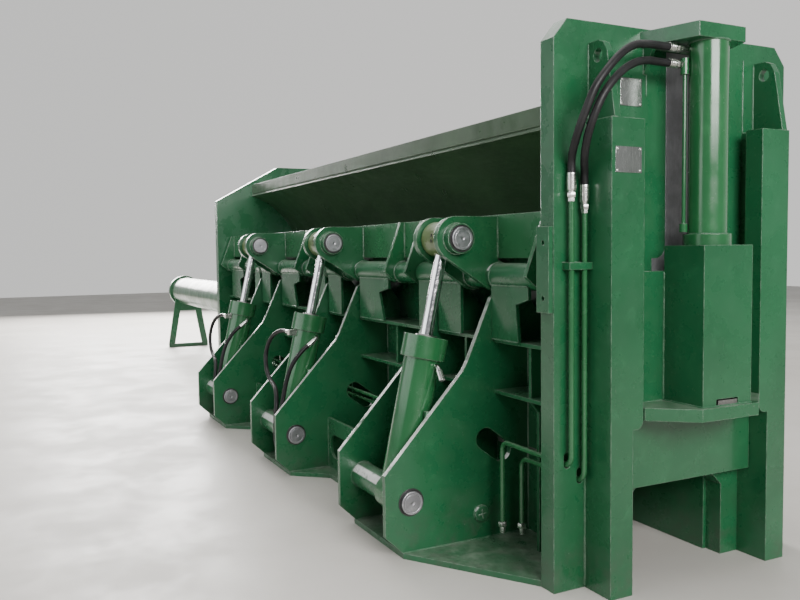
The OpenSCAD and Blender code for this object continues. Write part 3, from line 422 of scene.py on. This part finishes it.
# Hoses
def hose_at(route, i, t):
    """Place and slope of the smooth curve through a route, in span i at t from 0 to 1."""
    a, b = route[max(i - 1, 0)], route[i]
    c, d = route[i + 1], route[min(i + 2, len(route) - 1)]
    at = [0.5 * (2 * b[k] + (c[k] - a[k]) * t + (2 * a[k] - 5 * b[k] + 4 * c[k] - d[k]) * t * t
                 + (3 * b[k] - a[k] - 3 * c[k] + d[k]) * t ** 3) for k in range(3)]
    slope = [0.5 * ((c[k] - a[k]) + 2 * (2 * a[k] - 5 * b[k] + 4 * c[k] - d[k]) * t
                    + 3 * (3 * b[k] - a[k] - 3 * c[k] + d[k]) * t * t) for k in range(3)]
    return at, slope


def hose(node, body, route, shift, diameter):
    """A cord in place of a hose's solid: one Bezier spline that is exactly the route's smooth curve,
    cut in half spans. shift moves it along X, and length is in metres."""
    data = bpy.data.curves.new(node + "_line", "CURVE")
    data.dimensions = "3D"
    data.bevel_depth = diameter / 2000.0
    data.bevel_resolution = 5
    data.resolution_u = 8
    data.use_fill_caps = True
    stops = [(i, t) for i in range(len(route) - 1) for t in (0.0, 0.5)] + [(len(route) - 2, 1.0)]
    spline = data.splines.new("BEZIER")
    spline.bezier_points.add(len(stops) - 1)
    for q, (i, t) in zip(spline.bezier_points, stops):
        at, slope = hose_at(route, i, t)
        here = W(at[0] + shift, at[1], at[2])
        # A handle is a third of a half span, in metres
        step = Vector(slope) / 6000.0
        q.handle_left_type = q.handle_right_type = "FREE"
        q.co, q.handle_left, q.handle_right = here, here - step, here + step
    o = bpy.data.objects.new(node + "_line", data)
    bpy.context.scene.collection.objects.link(o)
    data.materials.append(M_RUBBER)
    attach(o, body)
    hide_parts(node)


# Routes as in the part's source; the lid cylinders' two are placed from their cylinder's X
GATE_UPPER = [[135, -197, 2526], [135, -262, 2526], [150, -344, 2520], [180, -440, 2500], [202, -530, 2455],
              [208, -610, 2385], [200, -675, 2300], [172, -705, 2205], [130, -712, 2120], [80, -700, 2050],
              [40, -680, 1998], [33, -675, 1944]]
GATE_LOWER = [[135, -197, 2452], [135, -262, 2452], [150, -343, 2447], [180, -445, 2420], [204, -545, 2366],
              [207, -630, 2280], [190, -670, 2190], [152, -678, 2100], [100, -655, 2018], [46, -612, 1948],
              [33, -601, 1891]]
HOSE_A = [[-60, -1096, 1018], [-130, -1096, 1018], [-215, -1112, 1005], [-310, -1132, 960],
          [-378, -1148, 885], [-396, -1160, 800], [-350, -1170, 712], [-245, -1180, 652], [-120, -1190, 622],
          [-20, -1205, 590], [42, -1222, 520], [60, -1236, 430], [60, -1240, 340], [60, -1240, 250],
          [60, -1228, 190], [60, -1202, 148], [60, -1160, 119], [60, -1120, 110], [60, -1089.5, 110]]
HOSE_B = [[140, -1010, 925], [140, -1046, 898], [134, -1096, 842], [123, -1138, 768], [114, -1166, 680],
          [110, -1186, 590], [110, -1206, 490], [110, -1222, 400], [110, -1232, 315], [110, -1234, 240],
          [110, -1222, 186], [110, -1194, 143], [110, -1156, 118], [110, -1120, 110], [110, -1089.5, 110]]


def hoses():
    hose("gate_hose_upper", "frame", GATE_UPPER, 0, GATE_HOSE_D)
    hose("gate_hose_lower", "frame", GATE_LOWER, 0, GATE_HOSE_D)
    for k in (1, 2):
        hose(f"hose_{k}a", f"barrel_body_{k}", HOSE_A, CYL_X[k - 1], HOSE_D)
        hose(f"hose_{k}b", f"barrel_body_{k}", HOSE_B, CYL_X[k - 1], HOSE_D)


# Builders of the small pieces
def new_piece(name, body, bm, mat):
    """A piece from a finished bmesh, smooth but for its corners, on its body and material slot."""
    corner = math.radians(38)
    mesh = bpy.data.meshes.new(name)
    bmesh.ops.recalc_face_normals(bm, faces=bm.faces)
    bm.to_mesh(mesh)
    bm.free()
    for f in mesh.polygons:
        f.use_smooth = True
    mesh.set_sharp_from_angle(angle=corner)
    mesh.materials.append(mat)
    o = bpy.data.objects.new(name, mesh)
    bpy.context.scene.collection.objects.link(o)
    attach(o, body)
    return o


def lathe(bm, origin, axis, profile, sides=32):
    """A turned form: profile is (distance along axis, radius) in mm; hexagons come from sides=6."""
    axis = Vector(axis).normalized()
    u = axis.orthogonal().normalized()
    v = axis.cross(u)
    rings = []
    for along, r in profile:
        centre = Vector(origin) + axis * along
        if r <= 0:
            rings.append([bm.verts.new(W(*centre))])
            continue
        ring = []
        for k in range(sides):
            a = 2 * math.pi * (k + 0.5) / sides
            ring.append(bm.verts.new(W(*(centre + (u * math.cos(a) + v * math.sin(a)) * r))))
        rings.append(ring)
    for a, b in zip(rings, rings[1:]):
        for k in range(sides):
            j = (k + 1) % sides
            if len(a) == 1:
                bm.faces.new((a[0], b[k], b[j]))
            elif len(b) == 1:
                bm.faces.new((a[k], b[0], a[j]))
            else:
                bm.faces.new((a[k], b[k], b[j], a[j]))


def circle_points(x, y, z, r, n=40):
    """Points once round a circle in a plane across X."""
    turns = [math.radians(360.0 * k / n) for k in range(n + 1)]
    return [(x, y + r * math.cos(a), z + r * math.sin(a)) for a in turns]


def bead(bm, points, size, out, step, seed):
    """A weld bead swept along points: ripples one step apart with a slight wander, small at both ends.
    out is the direction it faces, away from the corner that it fills."""
    sides = 6
    pts = [Vector(p) for p in points]
    out = Vector(out).normalized()
    lengths = [0.0]
    for a, b in zip(pts, pts[1:]):
        lengths.append(lengths[-1] + (b - a).length)
    count = max(2, int(lengths[-1] / step))
    rings, seg = [], 0
    for k in range(count + 1):
        d = lengths[-1] * k / count
        while seg < len(pts) - 2 and d > lengths[seg + 1]:
            seg += 1
        f = (d - lengths[seg]) / max(1e-6, lengths[seg + 1] - lengths[seg])
        at = pts[seg].lerp(pts[seg + 1], f)
        tangent = (pts[seg + 1] - pts[seg]).normalized()
        side = tangent.cross(out).normalized()
        up = side.cross(tangent)
        n = noise.noise(Vector((d / 37.0, seed * 7.3, 1.0)))
        r = size * (1.0 + 0.16 * n) * (1.0 if k % 2 else 0.86)
        if k in (0, count):
            r *= 0.55
        at = at + side * (size * 0.12 * noise.noise(Vector((d / 60.0, seed * 3.1, 5.0))))
        rings.append([bm.verts.new(W(*(at + (side * math.cos(a) + up * math.sin(a)) * r)))
                      for a in (2 * math.pi * j / sides for j in range(sides))])
    for a, b in zip(rings, rings[1:]):
        for k in range(sides):
            j = (k + 1) % sides
            bm.faces.new((a[k], b[k], b[j], a[j]))
    bm.faces.new(rings[0])
    bm.faces.new(list(reversed(rings[-1])))


class Welds:
    """Weld beads that become one piece, each with the next seed for its wander."""

    def __init__(self, first_seed):
        self.bm = bmesh.new()
        self.seeds = itertools.count(first_seed)

    def path(self, points, out, size, step=9.0):
        bead(self.bm, points, size, out, step, next(self.seeds))

    def run(self, a, b, out, size=6.0, step=9.0):
        self.path([a, b], out, size, step)

    def ring(self, x, centre, r, size):
        """A bead round a boss or tube that stands across X; centre is its (Y, Z)."""
        self.path(circle_points(x, centre[0], centre[1], r), X_AXIS, size, 8.0)


# Weld beads: how far an end stays off the next plate, and where a bead faces, by the corner that it fills
BEAD_GAP = 5.0
ON_FLOOR = (1, 0, 1)
UPRIGHT = (1, -1, 0)
ON_SHELF = (0, -1, 1)


def cheek_welds(w):
    """Along each cheek's inner and front face: on the base plate, up the wall, round the bosses."""
    low, high = SHELVES
    cheek_top = 1290
    pin_boss_r = 76
    for f in CHEEKS:
        for x in (f[1], f[3]):
            w.run((x, BASE_EDGE_Y + BEAD_GAP, BASE_T), (x, WALL_OUT - BEAD_GAP, BASE_T), ON_FLOOR, 7)
            w.run((x, WALL_OUT, BASE_T + BEAD_GAP), (x, WALL_OUT, low - BEAD_GAP), UPRIGHT)
            w.run((x, WALL_OUT, SHELF_TOPS[0] + BEAD_GAP), (x, WALL_OUT, high - BEAD_GAP), UPRIGHT)
            w.run((x, WALL_OUT, SHELF_TOPS[1] + BEAD_GAP), (x, WALL_OUT, cheek_top), UPRIGHT)
        w.ring(f[1], BASE_PIN, pin_boss_r, 5)
        w.ring(f[3], CHEEK_BOSS, CHEEK_BOSS_R, 5)


def wall_welds(w):
    """Along the shelves and up the ribs of the chamber wall."""
    low, high = SHELVES
    rib_pitch = 550
    rib_edge_y = -588
    for a, b in WALL_BAYS:
        for z in SHELF_TOPS:
            w.run((a + BEAD_GAP, WALL_OUT, z), (b - BEAD_GAP, WALL_OUT, z), ON_SHELF, 5, 12)
        count = max(1, round((b - a) / rib_pitch) - 1)
        for k in range(1, count + 1):
            x = a + (b - a) * k / (count + 1) + 10
            w.run((x, WALL_OUT - BEAD_GAP, SHELF_TOPS[0]), (x, rib_edge_y, SHELF_TOPS[0]), ON_FLOOR, 5)
            w.run((x, WALL_OUT, SHELF_TOPS[0] + BEAD_GAP), (x, WALL_OUT, high - BEAD_GAP), UPRIGHT, 5)
            w.run((x, WALL_OUT, BASE_T + BEAD_GAP), (x, WALL_OUT, low - 8), UPRIGHT, 5, 12)


def bracket_welds(w):
    """On the brackets that carry the fixed hinge tubes, and round the tubes at the cheeks."""
    foot_z = SHELF_TOPS[1]
    face_y, inner_y = -620, -595
    wing_z = 1412
    for start, end, *parts in TUBES:
        back, foot, top, wing = (start + f * (end - start) for f in parts)
        middle = (back + top) / 2 + 10
        w.run((back + 3, face_y, foot_z), (foot - 3, face_y, foot_z), ON_SHELF)
        w.run((back + 3, face_y - 1, wing_z), (wing - 3, face_y - 1, wing_z), ON_SHELF)
        w.run((middle, WALL_OUT - BEAD_GAP, foot_z), (middle, inner_y, foot_z), ON_FLOOR, 5)
    for f in CHEEKS:
        for x in (f[0], f[1], f[3]):
            w.ring(x, HINGE, HINGE_R + 1, 6)


def skirt_welds(w):
    """At the foot and the rear edge of the two skirt plates between the cheeks."""
    y, top = -872, 390
    for a, b in BETWEEN_CHEEKS:
        w.run((a + 4, y, BASE_T), (b - 4, y, BASE_T), ON_SHELF, 6, 12)
        w.run((a, y, BASE_T + BEAD_GAP), (a, y, top), UPRIGHT, 5)


def portal_welds(w):
    """On the portal's front: column, shaft end block, lifting eyes, strip, crosshead and gate cylinder,
    and behind it at the front bay's foot and wall."""
    block_low, block_high = 1500, 1544
    block_seam = block_high - 5
    eye_faces = (-554, 520)
    head_low, head_top = PORTAL_H - 86, PORTAL_H - 18
    eye_foot, eye_top = COLUMN_H + 4, PORTAL_H - 84
    w.run((0, -COLUMN_OUT, 8), (0, -COLUMN_OUT, block_low), UPRIGHT, 7)
    w.run((0, -COLUMN_OUT, block_high), (0, -COLUMN_OUT, COLUMN_H - 4), UPRIGHT, 7)
    w.run((0, -705, block_seam), (0, -COLUMN_OUT - 2, block_seam), ON_FLOOR, 4)
    for y in eye_faces:
        w.run((0, y, COLUMN_H + 6), (0, y, PORTAL_H - 104), UPRIGHT)
        w.run((4, y, COLUMN_H), (COLUMN_D - 2, y, COLUMN_H), ON_SHELF)
    w.run((0, -205, 2318), (0, -205, 2430), X_AXIS, 5)
    w.run((0, -243, head_top), (0, 243, head_top), ON_FLOOR)
    w.run((0, -203, head_low), (0, 203, head_low), (1, 0, -1))
    for y in (-225, 205):
        w.run((0, y, 2424), (0, y, head_low - BEAD_GAP), UPRIGHT, 5)
        w.run((3, y, head_low), (74, y, head_low), (0, -1, -1), 5)
    w.run((0, 445, eye_foot), (0, 445, eye_top), X_AXIS, 5)
    w.run((0, 445, eye_foot), (0, 516, eye_foot), X_AXIS, 4)
    for z, out in ((head_low, (0, 0, -1)), (COLLAR_TOP, UP)):
        ring = [(GATE_CYL_X + GATE_CYL_R * math.cos(a), GATE_CYL_R * math.sin(a), z) for a in ONCE_ROUND]
        w.path(ring, out, 6, 8)
    low, high = SHELF_TOPS[0] + BEAD_GAP, SHELVES[1] - BEAD_GAP
    w.run((-PORTAL_T, -745, BASE_T), (-PORTAL_T, WALL_OUT - BEAD_GAP, BASE_T), (-1, 0, 1))
    w.run((-PORTAL_T, WALL_OUT, low), (-PORTAL_T, WALL_OUT, high), (-1, -1, 0), 5)


def frame_welds():
    w = Welds(1)
    cheek_welds(w)
    wall_welds(w)
    bracket_welds(w)
    skirt_welds(w)
    portal_welds(w)
    new_piece("frame_welds", "frame", w.bm, M_PAINT)


def lid_welds():
    """Up the lid's back beside its ears and gussets, and round the sleeves and the upper pins' bosses."""
    w = Welds(101)
    low, ear_top, gusset_top = 1558, 1778, 1784
    front_boss_r, rear_boss_r = 81, 74
    for x in CYL_X:
        for face, side in ((EAR_OUT, 1), (EAR_IN, -1), (-EAR_IN, 1), (-EAR_OUT, -1)):
            w.run((x + face, LID_BACK_Y, low), (x + face, LID_BACK_Y, ear_top), (side, -1, 0), 7)
        for face in (EAR_IN, -EAR_IN):
            w.ring(x + face, HINGE, HINGE_R + 1, 6)
        w.ring(x + EAR_OUT, TOP_PIN, front_boss_r, 6)
        w.ring(x - EAR_OUT, TOP_PIN, rear_boss_r, 5)
    plates = [(g, g + GUSSET_T) for g in GUSSET_A] + [(g, g) for g in GUSSET_B]
    plates += [(GUSSET_END, GUSSET_END + GUSSET_T), LID_END_X]
    for x, sleeve in plates:
        for face, side in ((x + GUSSET_T, 1), (x, -1)):
            w.run((face, LID_BACK_Y, low), (face, LID_BACK_Y, gusset_top), (side, -1, 0), 7)
        w.ring(sleeve, HINGE, HINGE_R + 1, 6)
    new_piece("lid_welds", "lid", w.bm, M_EAR)


def gate_welds():
    """Round the gate's box on its shelf, up both its sides, and along the shelf."""
    w = Welds(301)
    front, half, z = GATE_FACE_X, GATE_BOX_HALF, SHELF_Z
    shelf_edge_y, side_top = -372, 1486
    w.path([(front + 2, -half, z), (GATE_BOX_X, -half, z), (GATE_BOX_X, half, z), (front + 2, half, z)],
           UP, 7)
    for y, side in ((-half, -1), (half, 1)):
        w.run((front, y, z + 4), (front, y, side_top), (1, side, 0))
    w.run((front, shelf_edge_y, z), (front, -half - BEAD_GAP, z), ON_FLOOR, 5)
    new_piece("gate_welds", "gate", w.bm, M_PAINT)


# Lid cylinders and their pins
def on_cylinder(x, y, z):
    """A point of a lid cylinder's own frame (z along it from the lower pin), in the drawing's mm."""
    c, s = math.cos(CYL_TILT), math.sin(CYL_TILT)
    return (x, BASE_PIN[0] + y * c + z * s, BASE_PIN[1] - y * s + z * c)


def cylinder_axis():
    return Vector(on_cylinder(0, 0, 1)) - Vector(on_cylinder(0, 0, 0))


def barrel_weld(k):
    """Beads round one barrel under its gland, and round the block that holds its lower pin."""
    x = CYL_X[k - 1]
    half_w, half_d = 85, 52
    block = ((-half_w, -half_d), (half_w, -half_d), (half_w, half_d), (-half_w, half_d), (-half_w, -half_d))
    under_gland, on_block = 745, 79
    ring = [on_cylinder(x + BARREL_R * math.cos(a), BARREL_R * math.sin(a), under_gland)
            for a in ONCE_ROUND]
    bm = bmesh.new()
    bead(bm, ring, 5, -cylinder_axis(), 8, 400 + k)
    bead(bm, [on_cylinder(x + a, b, on_block) for a, b in block], 7, -cylinder_axis(), 8, 410 + k)
    new_piece(f"barrel_weld_{k}", f"barrel_body_{k}", bm, M_TUBE)


def rod_wiper(k):
    """The wiper's stepped rings on top of one gland, just round the rod."""
    gland_top = 865
    bm = bmesh.new()
    lathe(bm, on_cylinder(CYL_X[k - 1], 0, gland_top), cylinder_axis(),
          [(0, 60), (5, 58), (7, 54), (7, 47), (4, 45), (4, 41), (9, 38), (9, 34.6), (0, 34.6)], 48)
    new_piece(f"rod_wiper_{k}", f"barrel_body_{k}", bm, M_STEEL)


def eye_ports(bm, x, profile):
    """One turned form at each of the two grease holes in a rod eye's rim."""
    off_centre = 27
    rim = EYE_R - 2
    for turn in (168.0, 186.0):
        y, z = math.cos(math.radians(turn)), math.sin(math.radians(turn))
        lathe(bm, (x + off_centre, TOP_PIN[0] + rim * y, TOP_PIN[1] + rim * z), (0, y, z), profile, 24)


def eye_trim(k):
    """The bead between one rod and its eye, the raised rings of the grease holes, and a black disc in each
    ring as painted shade for its bore.
    """
    x = CYL_X[k - 1]
    r = 36
    seam = [on_cylinder(x + r * math.cos(a), r * math.sin(a),
                        CYL_LEN - math.sqrt(EYE_R ** 2 - (r * math.sin(a)) ** 2)) for a in ONCE_ROUND]
    bm = bmesh.new()
    bead(bm, seam, 6, -cylinder_axis(), 7, 420 + k)
    eye_ports(bm, x, [(0, 14.5), (4.0, 14.5), (5.2, 13.0), (5.2, 10.4), (3.0, 9.8)])
    new_piece(f"eye_trim_{k}", f"rod_body_{k}", bm, M_OLIVE)
    # A black disc inside each port ring: painted shade for the bore
    bm = bmesh.new()
    eye_ports(bm, x, [(3.0, 9.9), (3.1, 4.0), (3.1, 0)])
    new_piece(f"eye_hole_shade_{k}", f"rod_body_{k}", bm, M_RUBBER)


def pin_faces(name, body, centre, ends):
    """Machined end faces with a chamfer, a turned groove and the centre drilling.
    ends lists (X from the cylinder, the side it faces, radius)."""
    bm = bmesh.new()
    for x in CYL_X:
        for dx, side, r in ends:
            profile = [(-0.2, r - 0.1), (0.8, r - 0.6), (2.6, r - 3), (2.6, r - 4), (2.6, r - 13),
                       (1.3, r - 13.5), (1.3, r - 16), (2.6, r - 16.5), (2.6, 12.0), (2.6, 9.5),
                       (1.2, 7.0), (0.6, 3.0), (0.6, 0)]
            lathe(bm, (x + dx, *centre), (side, 0, 0), profile, 56)
    new_piece(name, body, bm, M_PIN)


def pin_shade_rings(name, body, centre, dx):
    """Dark rings under the pins' heads: painted shade in the gap round each head."""
    bm = bmesh.new()
    for x in CYL_X:
        lathe(bm, (x + dx, *centre), X_AXIS,
              [(0.1, 73), (2.4, 73), (3.2, 72), (3.2, PIN_HEAD_R + 0.2), (0.1, PIN_HEAD_R + 0.2)], 56)
    new_piece(name, body, bm, M_RING_SHADE)


# Fittings, screws and bosses
def hose_end(bm, at, axis, length):
    """A swivel nut with its collar and a crimped sleeve with its rings."""
    lathe(bm, at, axis, [(-14, 0), (-14, 15.5), (-13, 16.5), (0, 16.5), (1, 15.5)], 6)
    lathe(bm, at, axis, [(0, 15), (3, 15), (4, 19.6), (6, 20.8), (25, 20.8), (27, 19.6), (28, 16)], 6)
    pitch = 9
    sleeve = [(28, 16.5), (34, 16.5), (36, 20.0)]
    for r in range(int((length - 46) / pitch)):
        z = 38 + r * pitch
        sleeve += [(z, 21.3), (z + 5.5, 21.3), (z + 6.6, 20.1), (z + 8.4, 20.1)]
    sleeve += [(length - 6, 21.0), (length, 19.6), (length, 17.6)]
    lathe(bm, at, axis, sleeve, 32)


def pipe_ends():
    """The gate hoses' ends with their adaptors, and the two open pipe ends low in the front bay."""
    bm = bmesh.new()
    for y, top in PIPE_TOPS:
        hose_end(bm, (PIPE_X, y, top), UP, 116)
    for z in GATE_PORT_Z:
        hose_end(bm, (GATE_PORT_X, FERRULE_Y, z), (0, -1, 0), 74)
        lathe(bm, (GATE_PORT_X, -58, z), (0, -1, 0), [(0, 12), (0, 13), (52, 13), (52, 12)], 24)
    for x, y in PIPE_ENDS:
        at = (x, y, PIPE_END_Z)
        lathe(bm, at, UP, [(-34, 0), (-34, 10), (-30, 10), (-30, 13.5), (-28, 15), (0, 15)], 24)
        lathe(bm, at, UP, [(0, 15), (0, 22), (2, 23.8), (22, 23.8), (25, 22), (25, 13.5)], 6)
    o = new_piece("pipe_ends", "frame", bm, M_PLATED)
    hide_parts("pipe_fittings")


def plate_screws():
    """A domed screw with a hexagon socket near each corner of the two blank plates."""
    inset = 10
    bm = bmesh.new()
    for x, y, z, w, h in ((183, -475, 1994, 150, 115), (3, -300, 2335, 130, 130)):
        for a, b in itertools.product((-1, 1), repeat=2):
            at = (x, y + a * (w / 2 - inset), z + b * (h / 2 - inset))
            lathe(bm, at, X_AXIS, [(-2, 2.9), (0, 2.9), (0, 5.6), (1.6, 5.4), (2.8, 4.2), (3.0, 2.4)], 20)
            lathe(bm, at, X_AXIS, [(3.0, 2.4), (1.2, 2.2), (1.2, 0)], 6)
    new_piece("plate_screws", "frame", bm, M_PLATED)


def boss_caps():
    """The domed boss at each front cheek's foot, with a low raised cross."""
    boss_t = 14
    bm = bmesh.new()
    by, bz = CHEEK_BOSS
    for f in CHEEKS:
        x = f[3] + boss_t
        lathe(bm, (x, by, bz), X_AXIS, [(-1, 43.9), (1, 43.4), (3, 40), (4.5, 30), (5, 15), (5, 0)], 48)
        for turn in (0, 90):
            y, z = math.cos(math.radians(turn + 8)), math.sin(math.radians(turn + 8))
            arm = [(x + 4.6, by + y * t, bz + z * t) for t in (-26, -13, 0, 13, 26)]
            bead(bm, arm, 3.2, X_AXIS, 4, turn + 77)
    new_piece("boss_caps", "frame", bm, M_PAINT)


def small_pieces():
    frame_welds()
    lid_welds()
    gate_welds()
    for k in CYLINDERS:
        barrel_weld(k)
        rod_wiper(k)
        eye_trim(k)
    pin_faces("upper_pin_faces", "lid", TOP_PIN, ((197, 1, PIN_HEAD_R), (-161, -1, PIN_R)))
    pin_faces("lower_pin_faces", "frame", BASE_PIN, ((185, 1, PIN_HEAD_R), (-490, -1, PIN_R)))
    pin_shade_rings("upper_pin_shade_rings", "lid", TOP_PIN, 183)
    pin_shade_rings("lower_pin_shade_rings", "frame", BASE_PIN, 165)
    pipe_ends()
    plate_screws()
    boss_caps()


hoses()
small_pieces()


# Floor, lights and backdrop, in metres
def make_floor():
    half, cells = 26.0, 26
    bm = bmesh.new()
    marks = [-half + 2 * half * i / cells for i in range(cells + 1)]
    grid = [[bm.verts.new((x, y, 0.0)) for y in marks] for x in marks]
    for i in range(cells):
        for j in range(cells):
            bm.faces.new((grid[i][j], grid[i + 1][j], grid[i + 1][j + 1], grid[i][j + 1]))
    mesh = bpy.data.meshes.new("floor")
    bm.to_mesh(mesh)
    bm.free()
    s = Shader("floor_plain")
    tone = s.mix(s.ramp(s.noise(0.5, 5.0, 0.6), 0.3, 0.7), (0.50, 0.475, 0.44), (0.57, 0.545, 0.51))
    rough = s.ramp(s.noise(1.7, 4.0, 0.6, seed=3), 0.3, 0.7, 0.42, 0.60)
    s.set(Base_Color=tone, Roughness=rough, Normal=s.bump(s.noise(30.0, 4.0, 0.6, seed=2), 0.10, 0.003))
    mesh.materials.append(s.mat)
    o = bpy.data.objects.new("floor", mesh)
    bpy.context.scene.collection.objects.link(o)


def area_light(name, at, to, size, size_y, power, tint):
    """A soft rectangular light at one place, turned to another, that the camera doesn't see."""
    data = bpy.data.lights.new(name, "AREA")
    data.shape = "RECTANGLE"
    data.size = size
    data.size_y = size_y
    data.energy = power
    data.color = tint
    o = bpy.data.objects.new(name, data)
    bpy.context.scene.collection.objects.link(o)
    o.location = at
    o.rotation_mode = "QUATERNION"
    o.rotation_quaternion = (Vector(to) - Vector(at)).to_track_quat("-Z", "Y")
    o.visible_camera = False


def make_world():
    """A plain backdrop: pale behind the machine as the photo sees it, and grey on the other sides."""
    world = bpy.data.worlds.new("studio")
    bpy.context.scene.world = world
    world.use_nodes = True
    tree = world.node_tree
    background = tree.nodes["Background"]
    gradient = tree.nodes.new("ShaderNodeTexGradient")
    turn = tree.nodes.new("ShaderNodeMapping")
    coord = tree.nodes.new("ShaderNodeTexCoord")
    tones = tree.nodes.new("ShaderNodeValToRGB")
    # Puts the pale side towards (-0.6, 0.8)
    turn.inputs["Rotation"].default_value = (0, 0, math.radians(-126.87))
    turn.inputs["Scale"].default_value = (0.5, 0.5, 0.5)
    turn.inputs["Location"].default_value = (0.5, 0.0, 0.0)
    tones.color_ramp.elements[0].color = (0.26, 0.27, 0.28, 1)
    tones.color_ramp.elements[1].color = (0.98, 0.97, 0.95, 1)
    for place, tone in ((0.60, 0.34), (0.78, 0.90)):
        tones.color_ramp.elements.new(place).color = (tone, tone, tone * 0.98, 1)
    background.inputs["Strength"].default_value = 0.85
    tree.links.new(coord.outputs["Generated"], turn.inputs["Vector"])
    tree.links.new(turn.outputs[0], gradient.inputs["Vector"])
    tree.links.new(gradient.outputs["Fac"], tones.inputs["Fac"])
    tree.links.new(tones.outputs[0], background.inputs["Color"])


make_floor()
area_light("window_far", (-13.0, 2.6, 5.4), (3.0, -0.8, 1.0), 9.5, 6.0, 5200, (1.0, 0.985, 0.96))
area_light("roof_light", (1.0, -1.5, 9.0), (1.0, -0.5, 0.0), 14.0, 7.0, 640, (1.0, 0.99, 0.97))
area_light("side_soft", (2.0, -9.5, 3.6), (2.5, 0.0, 1.2), 12.0, 3.6, 330, (0.97, 0.985, 1.0))
area_light("front_soft", (13.0, -1.0, 4.6), (4.8, 0.0, 1.4), 6.0, 3.0, 980, (1.0, 0.99, 0.975))
make_world()
